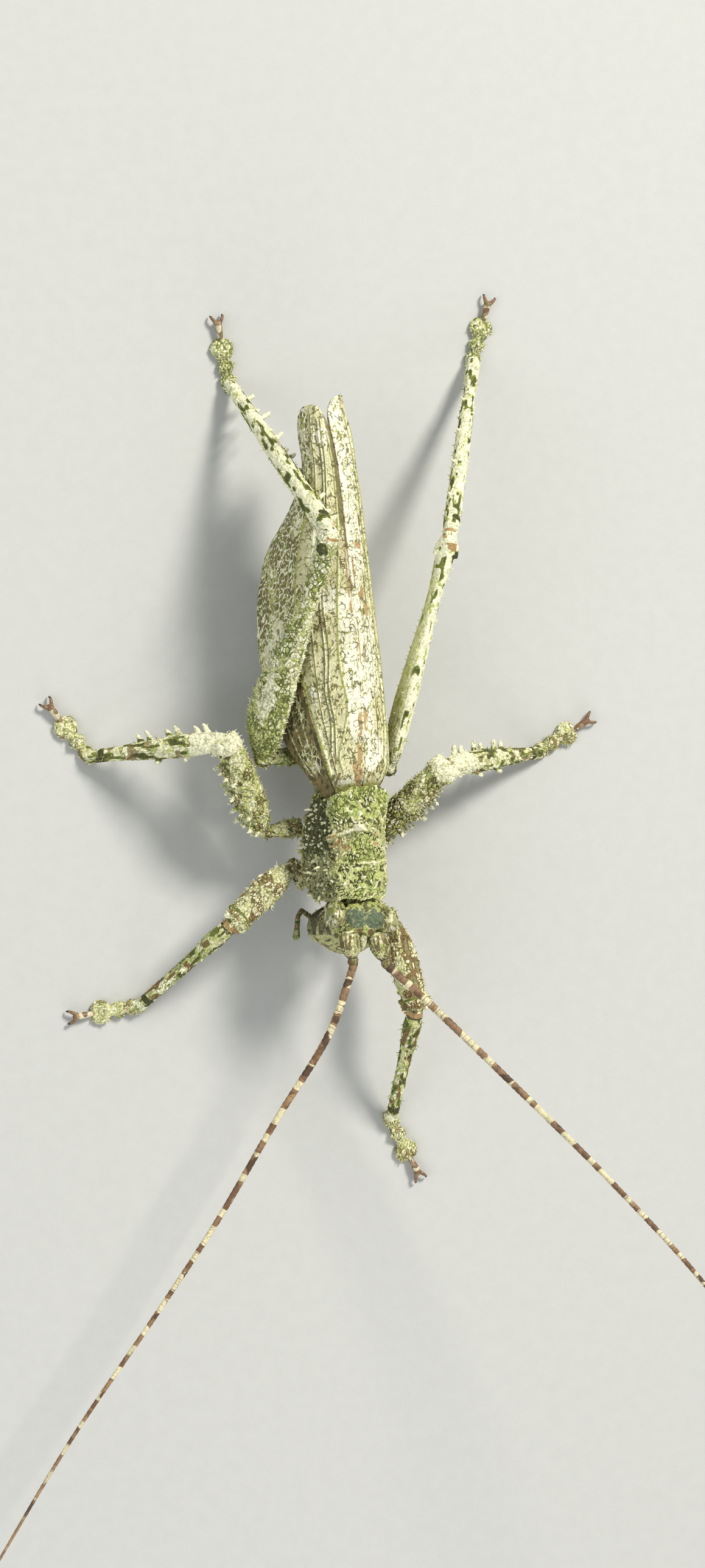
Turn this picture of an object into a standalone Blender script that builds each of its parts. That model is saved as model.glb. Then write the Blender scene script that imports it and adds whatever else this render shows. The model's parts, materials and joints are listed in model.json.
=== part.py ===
"""A lichen-mimicking long-horned grasshopper (katydid), life size and still.

The head looks along -Y and the folded forewings run back along +Y, with +Z up. The animal's left is +X.
Sizes are written in millimetres and become metres when a mesh is made. The origin ends up on the floor,
at the middle of the whole animal's footprint.
"""

import math

import bmesh
import bpy
from mathutils import Matrix, Vector

MM = 0.001
ACROSS, BACKWARDS, UPWARDS = Vector((1, 0, 0)), Vector((0, 1, 0)), Vector((0, 0, 1))
GAP = 0.26  # clearance between neighbouring pieces
CURVE_STEPS = 20  # points read from a curve between two given ones
SIDES = {"left": 1, "right": -1}

# The trunk leans towards the animal's left. The pronotum turns a little to its right, and the head more.
TRUNK_HEIGHT = 8.0
TRUNK_SHIFT = -0.35
TRUNK_ROLL = math.radians(12)
FRONT_YAW = math.radians(-2.5)
HEAD_YAW = math.radians(-8)
HEAD_PIVOT = (-1.2, -9.8, 0)

# Driving lengths of the trunk, along Y from the rear edge of the pronotum.
PRONOTUM_FRONT = -8.6
PRONOTUM_BACK = -0.05
PRONOTUM_WALL = 0.55
THORAX_BACK = 6.4
ABDOMEN_SPLIT = 12.2
ABDOMEN_BACK = 18.6
TEGMEN_BACK = 29.6
TEGMEN_WALL = 0.5
EYE_RADIUS = 0.72
EYE_INNER_SIDE = 0.3  # how far an eye reaches inwards from its centre

# Segment lengths of each pair of legs. The foot adds its three pads and its claws.
LEG_LENGTHS = {
    "fore": {"femur": 7.3, "tibia": 10.8},
    "mid": {"femur": 8.4, "tibia": 11.8},
    "hind": {"femur": 18.8, "tibia": 19.4},
}
ANKLE_HEIGHT = 0.75

# The stance. A leg's hip is in the floor's frame, a heading turns from +X towards +Y, a lift rises from
# the floor, and a lean tips the flat side of the femur towards the animal's left.
STANCE = {
    "foreleg_left": {"hip": (3.5, -10.4, 5), "femur": (-84, 16), "tibia": -97, "tarsus": -67, "lean": -10},
    "foreleg_right": {"hip": (-4, -5.1, 5.1), "femur": (219, 14), "tibia": 223, "tarsus": 183, "lean": 20},
    "midleg_left": {"hip": (2.5, -4.4, 4.4), "femur": (44.5, 22), "tibia": 2, "tarsus": 28, "lean": -10},
    "midleg_right": {"hip": (-6.3, -3, 5.1), "femur": (110.5, 20), "tibia": 184, "tarsus": 123, "lean": 25},
    "hindleg_left": {"hip": (4, 1, 5.6), "femur": (75.5, 19.4), "tibia": 66, "tarsus": 70, "lean": -8},
    "hindleg_right": {"hip": (-6.3, 2.5, 6.9), "femur": (74, 24.9), "tibia": 104.6, "tarsus": 96, "lean": 40},
}
# Where each pair of coxae leaves the trunk, on the animal's left, in the trunk's own frame.
COXA_ROOTS = {"fore": (1.85, -7.4, -3.3), "mid": (2.15, -2.9, -3.5), "hind": (2.5, 2.7, -2.9)}

# At a share of each segment's length: half width, half depth, and how far the hind femur's belly hangs.
FEMUR_SHAPES = {
    "fore": (
        (0, 0.46, 0.48),
        (0.14, 0.66, 0.68),
        (0.26, 0.98, 1.0),
        (0.52, 1.12, 1.16),
        (0.84, 1.0, 1.04),
        (1, 0.7, 0.72),
    ),
    "mid": ((0, 0.55, 0.58), (0.16, 0.92, 0.96), (0.5, 1.14, 1.18), (0.82, 1.0, 1.06), (1, 0.74, 0.78)),
    "hind": (
        (0, 0.6, 0.8, 0.1),
        (0.08, 0.82, 1.45, 0.45),
        (0.2, 0.88, 1.8, 0.72),
        (0.36, 0.82, 1.55, 0.58),
        (0.54, 0.7, 1.05, 0.25),
        (0.74, 0.58, 0.74, 0.05),
        (0.92, 0.72, 0.86, 0),
        (1, 0.62, 0.68, 0),
    ),
}
TIBIA_SHAPES = {
    "fore": (
        (0, 0.56, 0.58),
        (0.1, 0.7, 0.68),
        (0.2, 0.76, 0.7),
        (0.36, 0.6, 0.58),
        (0.7, 0.52, 0.52),
        (1, 0.52, 0.48),
    ),
    "mid": (
        (0, 0.6, 0.62),
        (0.12, 0.82, 0.8),
        (0.34, 0.92, 0.88),
        (0.64, 0.72, 0.68),
        (0.88, 0.55, 0.52),
        (1, 0.52, 0.48),
    ),
    "hind": (
        (0, 0.5, 0.55),
        (0.07, 0.54, 0.62),
        (0.3, 0.55, 0.66),
        (0.6, 0.5, 0.6),
        (0.88, 0.5, 0.5),
        (1, 0.52, 0.5),
    ),
}
# Spines that stand out from each tibia: the station whose faces grow them, and their length.
TIBIA_SPINES = {
    "fore": ((2, 0.5), (3, 0.5)),
    "mid": ((1, 0.9), (2, 1.0), (3, 0.8)),
    "hind": ((1, 0.9), (2, 1.1), (3, 1.0)),
}
# Distance along the tarsus, half width and height of its three lobed pads.
TARSUS_SHAPE = (
    (0, 0.5, 0.95),
    (0.5, 0.62, 0.95),
    (1.05, 0.5, 0.72),
    (1.35, 0.6, 0.78),
    (1.9, 0.62, 0.72),
    (2.2, 0.48, 0.62),
    (2.55, 0.78, 0.68),
    (3.2, 0.98, 0.62),
    (3.8, 0.72, 0.5),
)

# Centre lines of the two whip-like flagella, from the pedicel outwards, in the floor's frame.
FLAGELLA = {
    "left": (
        (1.05, -13.6, 10.6),
        (3.7, -16.5, 11.6),
        (9.2, -23.2, 14.1),
        (14.9, -30.7, 18),
        (20.2, -38.7, 22.5),
        (24.6, -47.2, 26.4),
        (28.2, -56.6, 29.4),
    ),
    "right": (
        (-1.25, -13.2, 10.4),
        (-3.8, -18.5, 10.6),
        (-8.4, -24.6, 10.4),
        (-13.3, -31.5, 10),
        (-18.4, -37.9, 9.7),
        (-25.6, -46.6, 9.3),
        (-32.9, -56.6, 8.9),
    ),
}
FLAGELLUM_RADII = (0.36, 0.25)
FLAGELLUM_SPLIT = 0.45
FLAGELLUM_RINGS = 14

COLOURS = {
    "lichen_cuticle": ((0.42, 0.45, 0.2), 0.85),
    "pale_wing": ((0.72, 0.7, 0.5), 0.7),
    "brown_antenna": ((0.35, 0.22, 0.12), 0.6),
    "dark_eye": ((0.12, 0.06, 0.03), 0.15),
    "horn_claw": ((0.2, 0.12, 0.06), 0.4),
}


def clear_scene():
    for old in list(bpy.data.objects):
        bpy.data.objects.remove(old, do_unlink=True)


def make_materials():
    made = {}
    for name, (colour, roughness) in COLOURS.items():
        material = bpy.data.materials.new(name)
        material.use_nodes = True
        shader = material.node_tree.nodes["Principled BSDF"]
        shader.inputs["Base Color"].default_value = (*colour, 1)
        shader.inputs["Roughness"].default_value = roughness
        shader.inputs["Metallic"].default_value = 0
        made[name] = material
    return made


def empty(name, matrix, parent=None):
    frame = bpy.data.objects.new(name, None)
    bpy.context.scene.collection.objects.link(frame)
    frame.parent = parent
    frame.matrix_local = matrix
    return frame


def add_solid(name, bm, material, parent):
    """Turns a closed bmesh, drawn in millimetres, into an object in metres under its parent."""
    bmesh.ops.recalc_face_normals(bm, faces=bm.faces)
    bmesh.ops.scale(bm, vec=(MM, MM, MM), verts=bm.verts)
    mesh = bpy.data.meshes.new(name)
    bm.to_mesh(mesh)
    bm.free()
    mesh.materials.append(MATERIALS[material])
    mesh.shade_smooth()
    solid = bpy.data.objects.new(name, mesh)
    bpy.context.scene.collection.objects.link(solid)
    solid.parent = parent
    return solid


def ring(centre, side, up, half_width, half_depth, sides=8, squareness=2.0):
    """Points of a superellipse round a centre. A squareness of 2 is an ellipse."""
    points = []
    for k in range(sides):
        turn = 2 * math.pi * (k + 0.5) / sides
        c, s = math.cos(turn), math.sin(turn)
        across = math.copysign(abs(c) ** (2 / squareness), c) * half_width
        above = math.copysign(abs(s) ** (2 / squareness), s) * half_depth
        points.append(centre + side * across + up * above)
    return points


def loft(rings):
    """A closed bmesh skinned through rings of the same number of points."""
    bm = bmesh.new()
    rows = [[bm.verts.new(point) for point in points] for points in rings]
    count = len(rows[0])
    for a, b in zip(rows, rows[1:]):
        for k in range(count):
            after = (k + 1) % count
            bm.faces.new((a[k], a[after], b[after], b[k]))
    bm.faces.new(list(reversed(rows[0])))
    bm.faces.new(rows[-1])
    bmesh.ops.recalc_face_normals(bm, faces=bm.faces)
    bm.faces.ensure_lookup_table()
    return bm


def onto_plane(points, along, point, normal):
    """Slides a ring along a limb onto the slanting plane where two segments meet."""
    return [p + along * ((point - p).dot(normal) / along.dot(normal)) for p in points]


def grow_spine(bm, face, lean, length, tip=0.3, steps=2):
    """Draws one face out into a spine that bends towards lean."""
    direction = (face.normal + lean).normalized()
    for _ in range(steps):
        face = bmesh.ops.extrude_discrete_faces(bm, faces=[face])["faces"][0]
        bmesh.ops.translate(bm, verts=face.verts, vec=direction * (length / steps))
        centre = face.calc_center_median()
        shrink = tip ** (1 / steps)
        bmesh.ops.scale(bm, verts=face.verts, vec=(shrink,) * 3, space=Matrix.Translation(-centre))
        direction = (direction + lean * 0.6).normalized()
    return face


def from_heading(heading, lift):
    heading, lift = math.radians(heading), math.radians(lift)
    return Vector((math.cos(heading) * math.cos(lift), math.sin(heading) * math.cos(lift), math.sin(lift)))


def smooth_path(points, count):
    """Points read evenly from a curve that passes through the given ones (Catmull-Rom)."""
    points = [Vector(p) for p in points]
    ends = [2 * points[0] - points[1], *points, 2 * points[-1] - points[-2]]
    dense = []
    for a, b, c, d in zip(ends, ends[1:], ends[2:], ends[3:]):
        for step in range(CURVE_STEPS):
            t = step / CURVE_STEPS
            bend, twist = 2 * a - 5 * b + 4 * c - d, 3 * b - a - 3 * c + d
            dense.append(0.5 * (2 * b + (c - a) * t + bend * t**2 + twist * t**3))
    dense.append(points[-1])
    reach = [0]
    for a, b in zip(dense, dense[1:]):
        reach.append(reach[-1] + (b - a).length)
    found, k = [], 0
    for step in range(count):
        wanted = reach[-1] * step / (count - 1)
        while k < len(dense) - 2 and reach[k + 1] < wanted:
            k += 1
        span = max(reach[k + 1] - reach[k], 1e-9)
        found.append(dense[k].lerp(dense[k + 1], min(1, (wanted - reach[k]) / span)))
    return found


def tube(path, radii, sides=8):
    """A closed tube along a path, one radius for each point."""
    rings, side = [], None
    for k, (point, radius) in enumerate(zip(path, radii)):
        along = (path[min(k + 1, len(path) - 1)] - path[max(k - 1, 0)]).normalized()
        side = along.cross(Vector((0, 0, 1)) if side is None else along.cross(-side)).normalized()
        rings.append(ring(point, side, side.cross(along), radius, radius, sides))
    return loft(rings)


# --- head ---------------------------------------------------------------------------------------------


def build_head(parent):
    """Upright head with a slanting face: level slices from the crown down to the jaws."""
    slices = (  # height, front, back, half width
        (2.85, -10.4, -9.0, 0.6),
        (2.6, -11.1, -8.8, 1.5),
        (2.0, -11.6, -8.75, 1.9),
        (1.2, -12.0, -8.75, 2.15),
        (0.2, -12.35, -8.75, 2.35),
        (-1.2, -12.3, -8.8, 2.3),
        (-2.4, -11.8, -8.9, 1.9),
        (-3.3, -11.25, -9.1, 1.45),
    )
    rings = []
    for height, front, back, half_width in slices:
        centre = Vector((0, (front + back) / 2, height))
        rings.append(ring(centre, ACROSS, BACKWARDS, half_width, (back - front) / 2, 14, 2.3))
    add_solid("head", loft(rings), "lichen_cuticle", parent)


def build_jaws(parent):
    """Labrum and mandibles, one block that tapers down below the face."""
    slices = ((-3.58, -11.2, -9.4, 1.25), (-4.1, -11.2, -9.6, 1.05), (-4.7, -11.0, -9.9, 0.65))
    rings = []
    for height, front, back, half_width in slices:
        centre = Vector((0, (front + back) / 2, height))
        rings.append(ring(centre, ACROSS, BACKWARDS, half_width, (back - front) / 2, 10, 2.4))
    add_solid("jaws", loft(rings), "lichen_cuticle", parent)


def build_palps(parent):
    """Jointed maxillary palps that reach out beside the mouth."""
    for side, sign in SIDES.items():
        route = ((1.8, -9.7, -3.95), (2.4, -9.4, -3.7), (2.75, -9.9, -3.45), (2.6, -11.4, -3.7))
        path = smooth_path([(sign * x, y, z) for x, y, z in route], 9)
        radii = (0.27, 0.3, 0.25, 0.3, 0.27, 0.26, 0.3, 0.34, 0.27)
        add_solid(f"palp_{side}", tube(path, radii, 7), "brown_antenna", parent)


def build_eyes(parent):
    for side, sign in SIDES.items():
        bm = bmesh.new()
        bmesh.ops.create_uvsphere(bm, u_segments=12, v_segments=8, radius=EYE_RADIUS)
        for vertex in bm.verts:
            vertex.co.x = max(vertex.co.x * sign, -EYE_INNER_SIDE) * sign
        bmesh.ops.remove_doubles(bm, verts=bm.verts, dist=0.01)
        bmesh.ops.translate(bm, verts=bm.verts, vec=(sign * 2.4, -9.95, 1.95))
        add_solid(f"eye_{side}", bm, "dark_eye", parent)


def build_antennae(head, floor):
    """A thick scape on the brow, and a flagellum in two lengths."""
    for side, sign in SIDES.items():
        root, tip = Vector((sign * 1.2, -12.05, 2.3)), head_matrix().inverted() @ Vector(FLAGELLA[side][0])
        path = [root.lerp(tip, share) for share in (0, 0.3, 0.62, 0.9)]
        add_solid(f"antenna_{side}_scape", tube(path, (0.62, 0.74, 0.6, 0.42), 9), "lichen_cuticle", head)
        line = smooth_path(FLAGELLA[side], 2 * FLAGELLUM_RINGS)
        split = round(FLAGELLUM_SPLIT * len(line))
        step = (line[split] - line[split - 1]).normalized() * GAP
        base = (line[1] - line[0]).normalized() * GAP
        thickness = [
            FLAGELLUM_RADII[0] + (FLAGELLUM_RADII[1] - FLAGELLUM_RADII[0]) * (k / (len(line) - 1)) ** 0.6
            for k in range(len(line))
        ]
        near = [line[0] + base, *line[1 : split + 1]]
        far = [line[split] + step, *line[split + 1 :]]
        add_solid(f"antenna_{side}_near", tube(near, thickness[: split + 1], 7), "brown_antenna", floor)
        add_solid(f"antenna_{side}_far", tube(far, thickness[split:], 7), "brown_antenna", floor)


# --- trunk --------------------------------------------------------------------------------------------


def trunk_ring(y, half_width, low, high, sides=14, squareness=2.0):
    centre = Vector((0, y, (low + high) / 2))
    return ring(centre, ACROSS, UPWARDS, half_width, (high - low) / 2, sides, squareness)


def build_pronotum(parent):
    """The saddle behind the head: a shield with a flat back and two hanging side lobes."""
    stations = (  # place, half width of the back, top, half width at the lobes' edge, bottom
        (PRONOTUM_FRONT, 1.75, 3.0, 2.25, -1.3),
        (-7.6, 1.9, 3.2, 2.6, -1.9),
        (-5.6, 1.92, 3.05, 2.72, -2.2),
        (-3.2, 1.82, 3.4, 2.6, -2.1),
        (-1.6, 2.02, 3.5, 2.5, -1.5),
        (PRONOTUM_BACK, 2.2, 3.7, 2.45, -0.4),
    )
    rings = []
    for y, back, top, lobe, bottom in stations:
        outer = [
            (lobe, bottom),
            (lobe + 0.12, bottom * 0.55),
            (lobe - 0.02, top * 0.25),
            (back, top - 0.75),
            (back * 0.5, top - 0.2),
        ]
        roof = 3  # from this point on the wall's thickness is measured downwards too
        drops = [PRONOTUM_WALL if k >= roof else 0 for k in range(len(outer))]
        inner = [(x - PRONOTUM_WALL, z - drop) for (x, z), drop in zip(outer, drops)]
        left, under_left = ([Vector((x, y, z)) for x, z in half] for half in (outer, inner))
        right, under_right = ([Vector((-x, y, z)) for x, z in half] for half in (outer, inner))
        ridge, under_ridge = Vector((0, y, top)), Vector((0, y, top - PRONOTUM_WALL - 0.05))
        rings.append([*left, ridge, *reversed(right), *under_right, under_ridge, *reversed(under_left)])
    add_solid("pronotum", loft(rings), "lichen_cuticle", parent)


def build_trunk(trunk, front):
    prothorax = (
        trunk_ring(-8.5, 1.3, -2.2, 1.9),
        trunk_ring(-7.0, 1.6, -2.9, 2.0),
        trunk_ring(-3.6, 1.72, -3.1, 2.1),
        trunk_ring(-0.5, 1.8, -3.1, 2.2),
    )
    add_solid("prothorax", loft(prothorax), "lichen_cuticle", front)
    thorax = (
        trunk_ring(-0.2, 1.8, -3.1, 1.9),
        trunk_ring(1.8, 2.15, -3.3, 2.2),
        trunk_ring(4.4, 2.3, -3.3, 2.2),
        trunk_ring(THORAX_BACK - GAP / 2, 2.2, -3.0, 1.9),
    )
    add_solid("thorax", loft(thorax), "lichen_cuticle", trunk)
    abdomen = (
        (THORAX_BACK + GAP / 2, 2.2, -3.0, 1.9),
        (9.2, 2.3, -3.1, 1.7),
        (ABDOMEN_SPLIT, 2.15, -2.9, 1.4),
    )
    rear = (
        (ABDOMEN_SPLIT, 2.15, -2.9, 1.4),
        (15.2, 1.85, -2.6, 1.0),
        (17.4, 1.35, -2.2, 0.6),
        (ABDOMEN_BACK, 0.7, -1.6, 0.1),
    )
    for name, rows, shift in (("abdomen_front", abdomen, -GAP / 2), ("abdomen_rear", rear, GAP / 2)):
        rings = []
        for y, half_width, low, high in rows:
            rings.append(trunk_ring(y + (shift if y == ABDOMEN_SPLIT else 0), half_width, low, high))
        add_solid(name, loft(rings), "lichen_cuticle", trunk)


def build_ovipositor(trunk):
    """A short blade that curves up behind the abdomen, under the wings."""
    stations = (  # place, low, high
        (18.95, -1.6, -0.3),
        (20.6, -1.65, -0.45),
        (22.6, -1.2, -0.1),
        (24.2, -0.4, 0.35),
        (25.2, 0.35, 0.75),
    )
    rings = [trunk_ring(y, 0.3, low, high, 8) for y, low, high in stations]
    add_solid("ovipositor", loft(rings), "horn_claw", trunk)


# Place along the forewing, ridge height, then how far out and down the shoulder and the lower edge are.
TEGMEN_SHAPE = (
    (0.75, 3.6, 2.5, 0.9, 3.0, 3.4),
    (3.0, 4.0, 2.8, 1.4, 3.7, 5.4),
    (6.0, 4.1, 3.0, 1.9, 4.1, 7.2),
    (9.0, 4.1, 3.0, 2.2, 4.3, 8.0),
    (12.5, 4.05, 2.95, 2.3, 4.3, 8.2),
    (15.8, 3.95, 2.75, 2.15, 4.0, 7.8),
    (18.5, 3.8, 2.5, 1.75, 3.5, 6.7),
    (21.2, 3.6, 2.1, 1.2, 2.5, 4.4),
    (24.0, 3.35, 1.75, 0.9, 1.75, 2.8),
    (26.6, 3.05, 1.65, 0.6, 1.7, 2.2),
    (TEGMEN_BACK - 1.1, 2.75, 1.45, 0.45, 1.5, 1.6),
    (TEGMEN_BACK - 0.2, 2.5, 0.95, 0.35, 0.95, 1.05),
)


def tegmen_curve(ridge, shoulder, shoulder_drop, edge, edge_drop, t):
    """A point across the forewing, from the ridge (0) over the shoulder (a half) to the lower edge (1)."""
    crest = Vector((0.14, ridge))
    knee, hem = Vector((shoulder, ridge - shoulder_drop)), Vector((edge, ridge - edge_drop))
    bulge = Vector((0.16, 0.2))
    if t <= 0.5:
        return crest.lerp(knee, 2 * t) + bulge * math.sin(2 * math.pi * t)
    return knee.lerp(hem, 2 * t - 1) + bulge.yx * 0.4 * math.sin(2 * math.pi * (t - 0.5))


def build_tegmina(parent, across=9):
    """The two folded forewings, thin shells that meet in a ridge over the back."""
    for side, sign in SIDES.items():
        rings = []
        for y, *profile in TEGMEN_SHAPE:
            outer = [tegmen_curve(*profile, k / (across - 1)) for k in range(across)]
            inner = []
            for k, point in enumerate(outer):
                run = (outer[min(k + 1, across - 1)] - outer[max(k - 1, 0)]).normalized()
                inner.append(point + Vector((run.y, -run.x)) * TEGMEN_WALL)
            inner[0].x = outer[0].x
            rings.append([Vector((sign * p.x, y, p.y)) for p in (*outer, *reversed(inner))])
        add_solid(f"tegmen_{side}", loft(rings), "pale_wing", parent)


# --- legs ---------------------------------------------------------------------------------------------


def limb(start, end, up, shape, planes, sides=8):
    """A tapered segment between two joints, whose ends lie on the joints' meeting planes."""
    along = (end - start).normalized()
    side = along.cross(up).normalized()
    up = side.cross(along)
    rings = []
    for t, width, depth, *belly in shape:
        centre = start.lerp(end, t) - up * (belly[0] if belly else 0)
        rings.append(ring(centre, side, up, width, depth, sides, 2.2))
    rings[0] = onto_plane(rings[0], along, *planes[0])
    rings[-1] = onto_plane(rings[-1], along, *planes[1])
    return loft(rings)


def meeting_plane(joint, before, after, shift):
    """The plane that halves the bend at a joint, moved by half a gap to one side of it."""
    normal = (before + after).normalized()
    return joint + normal * shift, normal


def leg_joints(name):
    """Root, hip, knee, ankle and the heading of the foot, in the floor's frame."""
    pair, side = name.split("leg_")
    pose, lengths = STANCE[name], LEG_LENGTHS[pair]
    root = Vector(COXA_ROOTS[pair])
    root.x *= SIDES[side]
    root = (front_matrix() if pair != "hind" else trunk_matrix()) @ root
    hip = Vector(pose["hip"])
    knee = hip + from_heading(*pose["femur"]) * lengths["femur"]
    drop = math.degrees(math.asin((ANKLE_HEIGHT - knee.z) / lengths["tibia"]))
    ankle = knee + from_heading(pose["tibia"], drop) * lengths["tibia"]
    return root, hip, knee, ankle, from_heading(pose["tarsus"], 0)


def build_tarsus(name, ankle, heading, parent):
    """Three lobed pads in a row, flat underneath and standing on the floor."""
    side = heading.cross(UPWARDS)
    start = Vector((ankle.x, ankle.y, 0)) - heading * 0.1
    rings = []
    for place, half_width, height in TARSUS_SHAPE:
        centre = start + heading * place + Vector((0, 0, height * 0.42))
        points = ring(centre, side, UPWARDS, half_width, height * 0.58, 8, 2.2)
        rings.append([Vector((p.x, p.y, max(p.z, 0))) for p in points])
    add_solid(f"{name}_tarsus", loft(rings), "lichen_cuticle", parent)
    return start + heading * TARSUS_SHAPE[-1][0]


def build_claws(name, start, heading, parent):
    """The slender last segment of the foot with its two hooks."""
    side = heading.cross(UPWARDS)
    shape = ((GAP, 0.3, 0.42), (0.8, 0.27, 0.5), (1.3, 0.4, 0.52))
    rings = []
    for place, half_width, height in shape:
        centre = start + heading * place + UPWARDS * height
        rings.append(ring(centre, side, UPWARDS, half_width, 0.28, 6, 2.2))
    bm = loft(rings)
    bm.normal_update()
    sides = [face for face in bm.faces if len(face.verts) == 4]
    ends = []
    for sign in (1, -1):
        reach = heading * 3 + side * sign * 2
        ends.append(max(sides, key=lambda face: (face.calc_center_median() - start).dot(reach)))
    for face in ends:
        grow_spine(bm, face, heading * 0.9 - UPWARDS * 0.45, 0.95, 0.45, 2)
    add_solid(f"{name}_claws", bm, "horn_claw", parent)


def build_leg(name, parent):
    pair = name.split("leg_")[0]
    root, hip, knee, ankle, heading = leg_joints(name)
    lean = math.radians(STANCE[name]["lean"])
    upright = Vector((math.sin(lean), 0, math.cos(lean)))
    joints = (root, hip, knee, ankle)
    coxa_way, femur_way, tibia_way = ((b - a).normalized() for a, b in zip(joints, joints[1:]))
    half = GAP / 2
    coxa_shape = ((0, 0.72, 0.72), (0.45, 0.68, 0.7), (1, 0.52, 0.55))
    planes = ((root, coxa_way), meeting_plane(hip, coxa_way, femur_way, -half))
    add_solid(f"{name}_coxa", limb(root, hip, upright, coxa_shape, planes), "lichen_cuticle", parent)
    bent = meeting_plane(knee, femur_way, tibia_way, -half)
    planes = (meeting_plane(hip, coxa_way, femur_way, half), bent)
    femur = limb(hip, knee, upright, FEMUR_SHAPES[pair], planes, 10 if pair == "hind" else 8)
    add_solid(f"{name}_femur", femur, "lichen_cuticle", parent)
    sole, _ = meeting_plane(ankle, tibia_way, heading, -half)
    planes = (meeting_plane(knee, femur_way, tibia_way, half), (sole + UPWARDS * 0.3, UPWARDS))
    tibia = limb(knee, ankle, upright, TIBIA_SHAPES[pair], planes)
    tibia.faces.ensure_lookup_table()
    tibia.normal_update()
    up = tibia_way.cross(upright).normalized().cross(tibia_way)
    spined = []
    for station, length in TIBIA_SPINES[pair]:
        spined += [(tibia.faces[station * 8 + k], length) for k in (0, 2)]
    for face, length in spined:
        grow_spine(tibia, face, up * 0.4 + tibia_way * 0.5, length, 0.12)
    add_solid(f"{name}_tibia", tibia, "lichen_cuticle", parent)
    toe = build_tarsus(name, ankle, heading, parent)
    build_claws(name, toe, heading, parent)


# --- assembly -----------------------------------------------------------------------------------------


def trunk_matrix():
    return Matrix.Translation((TRUNK_SHIFT, 0, TRUNK_HEIGHT)) @ Matrix.Rotation(TRUNK_ROLL, 4, "Y")


def front_matrix():
    return trunk_matrix() @ Matrix.Rotation(FRONT_YAW, 4, "Z")


def head_matrix():
    pivot = Matrix.Translation(HEAD_PIVOT)
    return front_matrix() @ pivot @ Matrix.Rotation(HEAD_YAW, 4, "Z") @ pivot.inverted()


def in_metres(matrix):
    moved = matrix.copy()
    moved.translation *= MM
    return moved


def rest_on_floor(floor):
    """Moves everything so that the origin is on the floor under the middle of the animal."""
    bpy.context.view_layer.update()
    corners = [o.matrix_world @ v.co for o in bpy.data.objects if o.type == "MESH" for v in o.data.vertices]
    low = Vector(min(c[k] for c in corners) for k in range(3))
    high = Vector(max(c[k] for c in corners) for k in range(3))
    floor.location = (-(low.x + high.x) / 2, -(low.y + high.y) / 2, -low.z)


clear_scene()
MATERIALS = make_materials()
floor_frame = empty("floor_frame", Matrix.Identity(4))
trunk_frame = empty("trunk_frame", in_metres(trunk_matrix()), floor_frame)
front_frame = empty("front_frame", in_metres(front_matrix()), floor_frame)
head_frame = empty("head_frame", in_metres(head_matrix()), floor_frame)
build_head(head_frame)
build_jaws(head_frame)
build_palps(head_frame)
build_eyes(head_frame)
build_antennae(head_frame, floor_frame)
build_pronotum(front_frame)
build_trunk(trunk_frame, front_frame)
build_ovipositor(trunk_frame)
build_tegmina(trunk_frame)
for leg_name in STANCE:
    build_leg(leg_name, floor_frame)
rest_on_floor(floor_frame)
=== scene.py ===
"""Looks of a lichen-mimicking long-horned grasshopper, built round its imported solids.

Shapes are drawn in millimetres, most of them in the trunk's own axes, and become metres when a piece is made.
The head looks along -Y, +Z is up and the animal's left is +X.
"""

import itertools
import json
import math

import bpy
import numpy as np
from mathutils import Matrix, Vector

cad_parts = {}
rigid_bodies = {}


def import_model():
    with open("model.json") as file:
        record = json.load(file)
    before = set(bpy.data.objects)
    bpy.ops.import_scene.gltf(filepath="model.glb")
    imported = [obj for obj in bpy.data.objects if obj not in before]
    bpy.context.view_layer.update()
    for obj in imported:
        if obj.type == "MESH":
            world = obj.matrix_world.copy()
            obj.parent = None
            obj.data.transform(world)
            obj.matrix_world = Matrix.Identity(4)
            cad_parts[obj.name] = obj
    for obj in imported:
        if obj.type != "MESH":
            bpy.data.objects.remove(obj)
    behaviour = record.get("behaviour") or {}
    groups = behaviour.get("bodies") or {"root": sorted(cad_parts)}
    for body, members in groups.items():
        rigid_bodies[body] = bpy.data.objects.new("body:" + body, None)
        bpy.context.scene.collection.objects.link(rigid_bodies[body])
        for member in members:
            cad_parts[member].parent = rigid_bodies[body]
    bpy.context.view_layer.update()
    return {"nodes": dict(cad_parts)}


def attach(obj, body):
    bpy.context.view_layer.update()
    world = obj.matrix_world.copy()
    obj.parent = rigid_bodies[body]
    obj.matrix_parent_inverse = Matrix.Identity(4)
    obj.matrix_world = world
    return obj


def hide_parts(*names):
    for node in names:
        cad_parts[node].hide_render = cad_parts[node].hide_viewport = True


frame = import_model()

bl_info = {
    "name": "Lichen Katydid",
    "version": (1, 0, 0),
    "blender": (4, 5, 0),
    "location": "View3D > Sidebar > Katydid",
    "description": "Builds the skins, wings, feelers and spines of a lichen katydid, and its studio stage",
    "category": "Object",
}

MM = 0.001
SIDES = {"left": 1, "right": -1}
# Directions of the shared frame and of the trunk's own axes.
LEFT, BACK, UP = np.eye(3)

# The trunk's own axes: where they stand, how far they roll to the animal's left, and how the head end turns.
TRUNK = Matrix.Translation((1.977, 9.293, 8.0)) @ Matrix.Rotation(math.radians(12), 4, "Y")
FRONT = TRUNK @ Matrix.Rotation(math.radians(-2.5), 4, "Z")
HEAD_PIVOT = Matrix.Translation((-1.2, -9.8, 0))
HEAD = FRONT @ HEAD_PIVOT @ Matrix.Rotation(math.radians(-8), 4, "Z") @ HEAD_PIVOT.inverted()

# Coats of colour that a skin can carry over its cream ground, from the lowest to the uppermost.
LAYERS = ("white", "green", "olive", "brown", "accent", "dark")
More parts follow.
